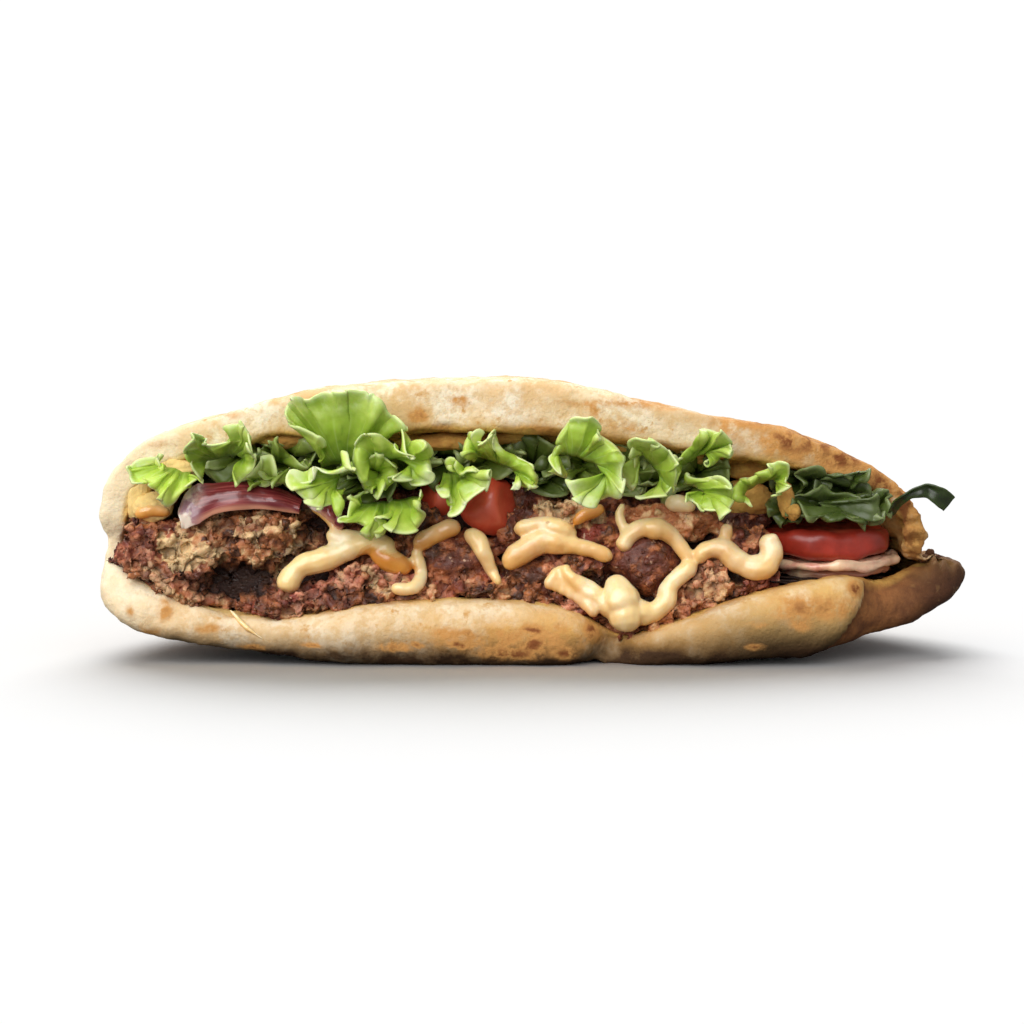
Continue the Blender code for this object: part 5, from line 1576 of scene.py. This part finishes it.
def floury_colour(tree, where):
    """Pale dough with tan clouds, a floury dust and small flecks."""
    tan = mixed(tree, mottle(tree, where, 42.0, 0.40, 0.62), (0.86, 0.68, 0.43), (0.74, 0.49, 0.235))
    pale = mixed(tree, mottle(tree, where, 95.0, 0.42, 0.60), tan, (0.93, 0.81, 0.60))
    dusted = times(tree, mottle(tree, where, 420.0, 0.45, 0.62), 0.55)
    grainy = mixed(tree, dusted, pale, (0.70, 0.46, 0.21))
    return mixed(tree, mottle(tree, where, 230.0, 0.58, 0.70), grainy, (0.60, 0.33, 0.12))


def baked_colour(tree, where, colour, along, height, behind):
    """The colour with painted light making the left end lighter, browner behind, and tanned and darkened by
    painted shade on the right half of the top.
    """
    # Painted light: the left end is drawn lighter, where the light falls on it most.
    left = times(tree, between(tree, along, -118.0, -88.0, 0.7, 0.0), maths(tree, "SUBTRACT", 1.0, behind))
    painted_left_light = mixed(tree, left, colour, (0.95, 0.80, 0.55))
    baked = mixed(tree, times(tree, behind, 0.55), painted_left_light, (0.55, 0.34, 0.15))
    # Painted shade, partly tan: the right half of the top is darkened where less light reaches it.
    shaded = times(tree, between(tree, along, 10.0, 80.0, 0.0, 0.95), between(tree, height, 42.0, 56.0))
    clouded = times(tree, shaded, mottle(tree, where, 60.0, 0.15, 0.62))
    return mixed(tree, clouded, baked, (0.52, 0.31, 0.125))


def low_colour(tree, where, colour, along, height):
    """The colour made golden on the lower lip, with painted shade, partly browning: olive-dark low at its
    right and near black at the very bottom, where the underside turns from the light.
    """
    uneven = maths(tree, "ADD", mottle(tree, where, 70.0, 0.35, 0.65), 0.55)
    low = times(tree, between(tree, height, 6.0, 23.0, 0.85, 0.0), uneven)
    low = times(tree, low, between(tree, along, -48.0, -18.0, 0.45, 1.0))
    golden = mixed(tree, low, colour, (0.68, 0.37, 0.105))
    rolled = times(tree, between(tree, along, 50.0, 76.0), between(tree, height, 20.0, 32.0, 0.75, 0.0))
    tanned = mixed(tree, times(tree, rolled, uneven), golden, (0.72, 0.44, 0.15))
    # Painted shade on the low right of the lower lip, where the roll turns under.
    right = times(tree, between(tree, along, 28.0, 70.0), between(tree, height, 5.0, 22.0, 0.95, 0.0))
    shaded_right_low = mixed(tree, right, tanned, (0.15, 0.095, 0.036))
    # Painted shade along the very bottom, partly a browned underside.
    patchy = maths(tree, "ADD", times(tree, uneven, 0.4), 0.6)
    shaded_bottom = times(tree, between(tree, height, 1.0, 12.5, 1.0, 0.0), patchy)
    return mixed(tree, shaded_bottom, shaded_right_low, (0.060, 0.027, 0.010))


def toasted_colour(tree, where, colour, along):
    """The colour with the toasted patches, and the brown end at the right, darkened by painted shade towards
    its tip.
    """
    speckle = mottle(tree, where, 240.0, 0.32, 0.62)
    toast = times(tree, attribute(tree, "toast"), maths(tree, "ADD", speckle, 0.45))
    golden = mixed(tree, spread(tree, toast, 0.05, 0.5), colour, (0.60, 0.29, 0.085))
    browned = mixed(tree, spread(tree, toast, 0.45, 1.05), golden, (0.24, 0.075, 0.02))
    end = times(tree, attribute(tree, "brown"), maths(tree, "ADD", speckle, 0.75))
    brown = mixed(tree, mottle(tree, where, 130.0, 0.35, 0.65), (0.30, 0.12, 0.038), (0.15, 0.055, 0.020))
    # Painted shade: the brown end is drawn darker towards its tip.
    deep = mixed(tree, between(tree, along, 98.0, 126.0), brown, (0.065, 0.024, 0.011))
    return mixed(tree, spread(tree, end, 0.1, 0.9), browned, deep)


@cache
def crust_finish():
    material, tree, shader, where = begun("floury_crust", Roughness=0.8)
    shader.inputs["Specular IOR Level"].default_value = 0.25
    apart = put(tree, "ShaderNodeSeparateXYZ", {0: where}).outputs
    height, along, behind = apart["Z"], apart["X"], between(tree, apart["Y"], -40.0, -16.0)
    baked = baked_colour(tree, where, floury_colour(tree, where), along, height, behind)
    toasted = toasted_colour(tree, where, low_colour(tree, where, baked, along, height), along)
    amber = mixed(tree, mottle(tree, where, 80.0, 0.35, 0.65), (0.72, 0.43, 0.105), (0.42, 0.19, 0.045))
    # Painted light: the crumb is drawn paler and more golden towards the left end, where it is lit.
    inside = mixed(tree, between(tree, along, -104.0, -70.0, 0.95, 0.0), amber, (0.93, 0.66, 0.26))
    colour = mixed(tree, attribute(tree, "crumb"), toasted, inside)
    tree.links.new(colour, shader.inputs["Base Color"])
    soft_light(shader, 0.12, (1.0, 0.6, 0.35), 2.0)
    bumped(tree, shader, grain(tree, where, 520.0, 0.15), 0.8, 0.7)
    return material


@cache
def meat_finish():
    material, tree, shader, where = begun("browned_meat", Coat_Weight=0.20, Coat_Roughness=0.25)
    cloud = maths(tree, "SUBTRACT", mottle(tree, where, 260.0, 0.25, 0.75), 0.5)
    tone = maths(tree, "ADD", attribute(tree, "tone"), times(tree, cloud, 0.6))
    brown = mixed(tree, spread(tree, tone, 0.0, 0.5), (0.075, 0.024, 0.009), (0.56, 0.190, 0.060))
    pale = mixed(tree, spread(tree, tone, 0.42, 0.95), brown, (0.98, 0.67, 0.33))
    redness = times(tree, attribute(tree, "red"), mottle(tree, where, 110.0, 0.36, 0.56))
    rosy = mixed(tree, spread(tree, tone, 0.1, 0.8), (0.32, 0.048, 0.026), (0.74, 0.25, 0.16))
    red = mixed(tree, times(tree, redness, 0.95), pale, rosy)
    fat = mixed(tree, mottle(tree, where, 420.0, 0.62, 0.72), red, (0.78, 0.50, 0.32))
    # Painted shade: the value deep darkens cracks, hollows and the hidden core.
    dark = mixed(tree, attribute(tree, "deep"), fat, (0.028, 0.010, 0.006))
    tree.links.new(dark, shader.inputs["Base Color"])
    moist = spread(tree, mottle(tree, where, 300.0, 0.3, 0.7), 0.0, 1.0, 0.30, 0.65)
    tree.links.new(moist, shader.inputs["Roughness"])
    soft_light(shader, 0.12, (1.0, 0.35, 0.2), 1.0)
    bumped(tree, shader, grain(tree, where, 700.0, 0.5), 0.9, 0.9)
    return material


def sauce_finish():
    plain = {"Roughness": 0.30, "Coat_Weight": 0.5, "Coat_Roughness": 0.16}
    material, tree, shader, where = begun("orange_sauce", **plain)
    orange = mixed(tree, mottle(tree, where, 70.0, 0.38, 0.64), (0.82, 0.37, 0.062), (0.68, 0.26, 0.035))
    creamy = mixed(tree, mottle(tree, where, 110.0, 0.40, 0.70), (0.97, 0.70, 0.32), (0.98, 0.83, 0.54))
    cream = times(tree, attribute(tree, "cream"), 0.75)
    # Painted light: creamier where the sauce faces up, more orange where it faces down.
    share = maths(tree, "ADD", cream, times(tree, attribute(tree, "painted_top_light"), 0.5))
    colour = mixed(tree, spread(tree, share, 0.32, 1.15), orange, creamy)
    tree.links.new(colour, shader.inputs["Base Color"])
    soft_light(shader, 0.30, (1.0, 0.6, 0.25), 2.0)
    bumped(tree, shader, grain(tree, where, 260.0, 0.1), 0.12, 0.5)
    return material


@cache
def tomato_finish():
    plain = {"Roughness": 0.40, "Coat_Weight": 0.25, "Coat_Roughness": 0.20}
    material, tree, shader, where = begun("ripe_tomato", **plain)
    skin = mixed(tree, mottle(tree, where, 90.0, 0.35, 0.7), (0.43, 0.037, 0.018), (0.25, 0.020, 0.010))
    flesh = mixed(tree, mottle(tree, where, 140.0, 0.4, 0.65), (0.62, 0.070, 0.030), (0.68, 0.12, 0.055))
    colour = mixed(tree, attribute(tree, "skin"), flesh, skin)
    tree.links.new(colour, shader.inputs["Base Color"])
    soft_light(shader, 0.15, (1.0, 0.2, 0.1), 1.6)
    bumped(tree, shader, grain(tree, where, 260.0, 0.2), 0.22, 0.5)
    return material


@cache
def onion_finish():
    material, tree, shader, where = begun("red_onion", Roughness=0.24, Coat_Weight=0.4, Coat_Roughness=0.08)
    layer = attribute(tree, "layer")
    along = attribute(tree, "along")
    lines = put(tree, "ShaderNodeTexNoise", {"Scale": 1.0, "Detail": 3.0})
    spot = put(tree, "ShaderNodeCombineXYZ", {"X": times(tree, layer, 13.0), "Y": times(tree, along, 3.0)})
    tree.links.new(spot.outputs[0], lines.inputs["Vector"])
    streak = spread(tree, lines.outputs[0], 0.42, 0.72)
    purple = mixed(tree, streak, (0.17, 0.019, 0.023), (0.36, 0.070, 0.066))
    pink = mixed(tree, spread(tree, layer, 0.76, 0.94), purple, (0.62, 0.27, 0.17))
    lilac = mixed(tree, mottle(tree, where, 170.0, 0.45, 0.60), (0.36, 0.19, 0.23), (0.86, 0.72, 0.58))
    peach = mixed(tree, mottle(tree, where, 120.0, 0.35, 0.62), (0.62, 0.25, 0.19), (0.90, 0.66, 0.42))
    right = spread(tree, put(tree, "ShaderNodeSeparateXYZ", {0: where}).outputs["X"], 0.0, 60.0 * MM)
    pale = mixed(tree, spread(tree, along, 0.14, 0.34, 1.0, 0.0), pink, mixed(tree, right, lilac, peach))
    tree.links.new(pale, shader.inputs["Base Color"])
    soft_light(shader, 0.2, (1.0, 0.5, 0.5), 1.2)
    bumped(tree, shader, lines.outputs[0], 0.2, 0.4)
    return material


@cache
def lettuce_finish():
    material, tree, shader, where = begun("frilly_lettuce", Roughness=0.40)
    tone = attribute(tree, "tone")
    edge = attribute(tree, "edge")
    # Painted shade and light: each leaf is drawn dark at its root, where the hollows lie, and lighter towards
    # its edge, where the light falls.
    root = mixed(tree, tone, (0.012, 0.020, 0.003), (0.22, 0.38, 0.030))
    shade = mixed(tree, tone, (0.024, 0.040, 0.006), (0.42, 0.60, 0.055))
    light = mixed(tree, tone, (0.050, 0.078, 0.014), (0.68, 0.82, 0.17))
    cloud = mottle(tree, where, 160.0, 0.3, 0.7)
    blend = maths(tree, "ADD", times(tree, edge, 0.8), times(tree, cloud, 0.35))
    lower = mixed(tree, spread(tree, blend, 0.15, 0.65), root, shade)
    green = mixed(tree, spread(tree, blend, 0.60, 1.15), lower, light)
    place = put(tree, "ShaderNodeMath", {0: attribute(tree, "vein")}, operation="FRACT").outputs[0]
    vein = spread(tree, maths(tree, "ABSOLUTE", maths(tree, "SUBTRACT", place, 0.5)), 0.0, 0.10, 1.0, 0.0)
    fade = times(tree, vein, spread(tree, edge, 0.85, 0.3, 0.0, 0.28))
    veined = mixed(tree, times(tree, fade, tone), green, (0.62, 0.74, 0.34))
    # The pale rim: partly the leaf's own paler edge, partly a painted highlight.
    rim_and_highlight_share = times(tree, spread(tree, edge, 0.90, 1.0), maths(tree, "ADD", tone, 0.12))
    rim = mixed(tree, times(tree, rim_and_highlight_share, 0.75), veined, (0.74, 0.84, 0.40))
    curled = times(tree, mottle(tree, where, 75.0, 0.52, 0.66), spread(tree, edge, 0.62, 0.92))
    whitish = mixed(tree, times(tree, times(tree, curled, tone), 0.8), rim, (0.78, 0.86, 0.52))
    tree.links.new(whitish, shader.inputs["Base Color"])
    soft_light(shader, 0.22, (0.5, 1.0, 0.15), 1.2)
    bumped(tree, shader, grain(tree, where, 330.0, 0.3), 0.35, 0.5)
    return material


# Pieces, light and camera.


def finished(obj, material, slot, *nodes):
    """The piece with its material, riding on the part and standing for the solids it replaces."""
    obj.data.materials.clear()
    obj.data.materials.append(material)
    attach(obj, BODY)
    if nodes:
        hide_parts(*nodes)
    return obj


def white_floor():
    mesh = bpy.data.meshes.new("floor")
    corners = [(FLOOR_REACH * x, FLOOR_REACH * y, 0) for x, y in ((-1, -1), (1, -1), (1, 1), (-1, 1))]
    mesh.from_pydata(corners, [], [(0, 1, 2, 3)])
    floor = new_object("floor", mesh)
    material, tree, shader, _ = begun("white_table", Roughness=0.9)
    seen = put(tree, "ShaderNodeLightPath").outputs["Is Camera Ray"]
    colour = mixed(tree, seen, (FLOOR_BOUNCE,) * 3, (FLOOR_SEEN,) * 3)
    tree.links.new(colour, shader.inputs["Base Color"])
    shader.inputs["Specular IOR Level"].default_value = 0.0
    floor.data.materials.append(material)


def studio_light():
    world = bpy.data.worlds.new("studio")
    bpy.context.scene.world = world
    world.use_nodes = True
    tree = world.node_tree
    sky = tree.nodes["Background"]
    sky.inputs["Color"].default_value = (1.0, 1.0, 1.0, 1.0)
    seen = put(tree, "ShaderNodeLightPath").outputs["Is Camera Ray"]
    tree.links.new(spread(tree, seen, 0.0, 1.0, SKY_LIGHT, SKY_SEEN), sky.inputs["Strength"])
    food = bpy.data.collections.new("food")
    for obj in bpy.context.scene.objects:
        if obj.type == "MESH" and obj.name != "floor":
            food.objects.link(obj)
    for name, strength, softness, direction, on_food_only in LIGHTS:
        light = bpy.data.lights.new(name, "SUN")
        light.energy = strength
        light.angle = math.radians(softness)
        lamp = new_object(name, light)
        lamp.rotation_euler = Vector(direction).to_track_quat("Z", "Y").to_euler()
        if on_food_only:
            lamp.light_linking.receiver_collection = food


def photo_camera():
    away = Vector((0.0, -math.cos(CAMERA_ELEVATION), math.sin(CAMERA_ELEVATION)))
    camera = bpy.data.cameras.new("camera")
    camera.lens = CAMERA_LENS
    camera.sensor_width = CAMERA_SENSOR
    holder = new_object("camera", camera)
    holder.location = Vector(CAMERA_TARGET) * MM + away * CAMERA_DISTANCE
    holder.rotation_euler = away.to_track_quat("Z", "Y").to_euler()
    bpy.context.scene.camera = holder


def main():
    noise.seed_set(NOISE_SEED)
    bread = bread_piece()
    meat = meat_piece_surface()
    core = meat_core()
    finish = meat_finish()
    tree = tree_of([meat, core, bread])
    sauce = sauce_piece(tree)
    crumbs = crumbs_piece(meat, finish)
    for obj in (meat, core, crumbs):
        finished(obj, finish, "meat", "doner_meat")
    finished(sauce, sauce_finish(), "meat", "doner_meat")
    tomato_slice_piece()
    for node, wedge in WEDGES.items():
        tomato_wedge_piece(node, wedge)
    for node, band in ONION_BANDS.items():
        onion_band(node, *band)
    for node, item in ONION_SLICES.items():
        onion_slice_piece(node, item)
    bed_piece()
    folds_piece()
    torn_crumb_piece()
    for seed, (node, tips) in enumerate(LEAVES.items()):
        leaf_piece(node, tips, seed)
    stray_piece("lettuce_stray")
    white_floor()
    studio_light()
    photo_camera()
    bpy.context.scene.view_settings.view_transform = "Standard"


main()
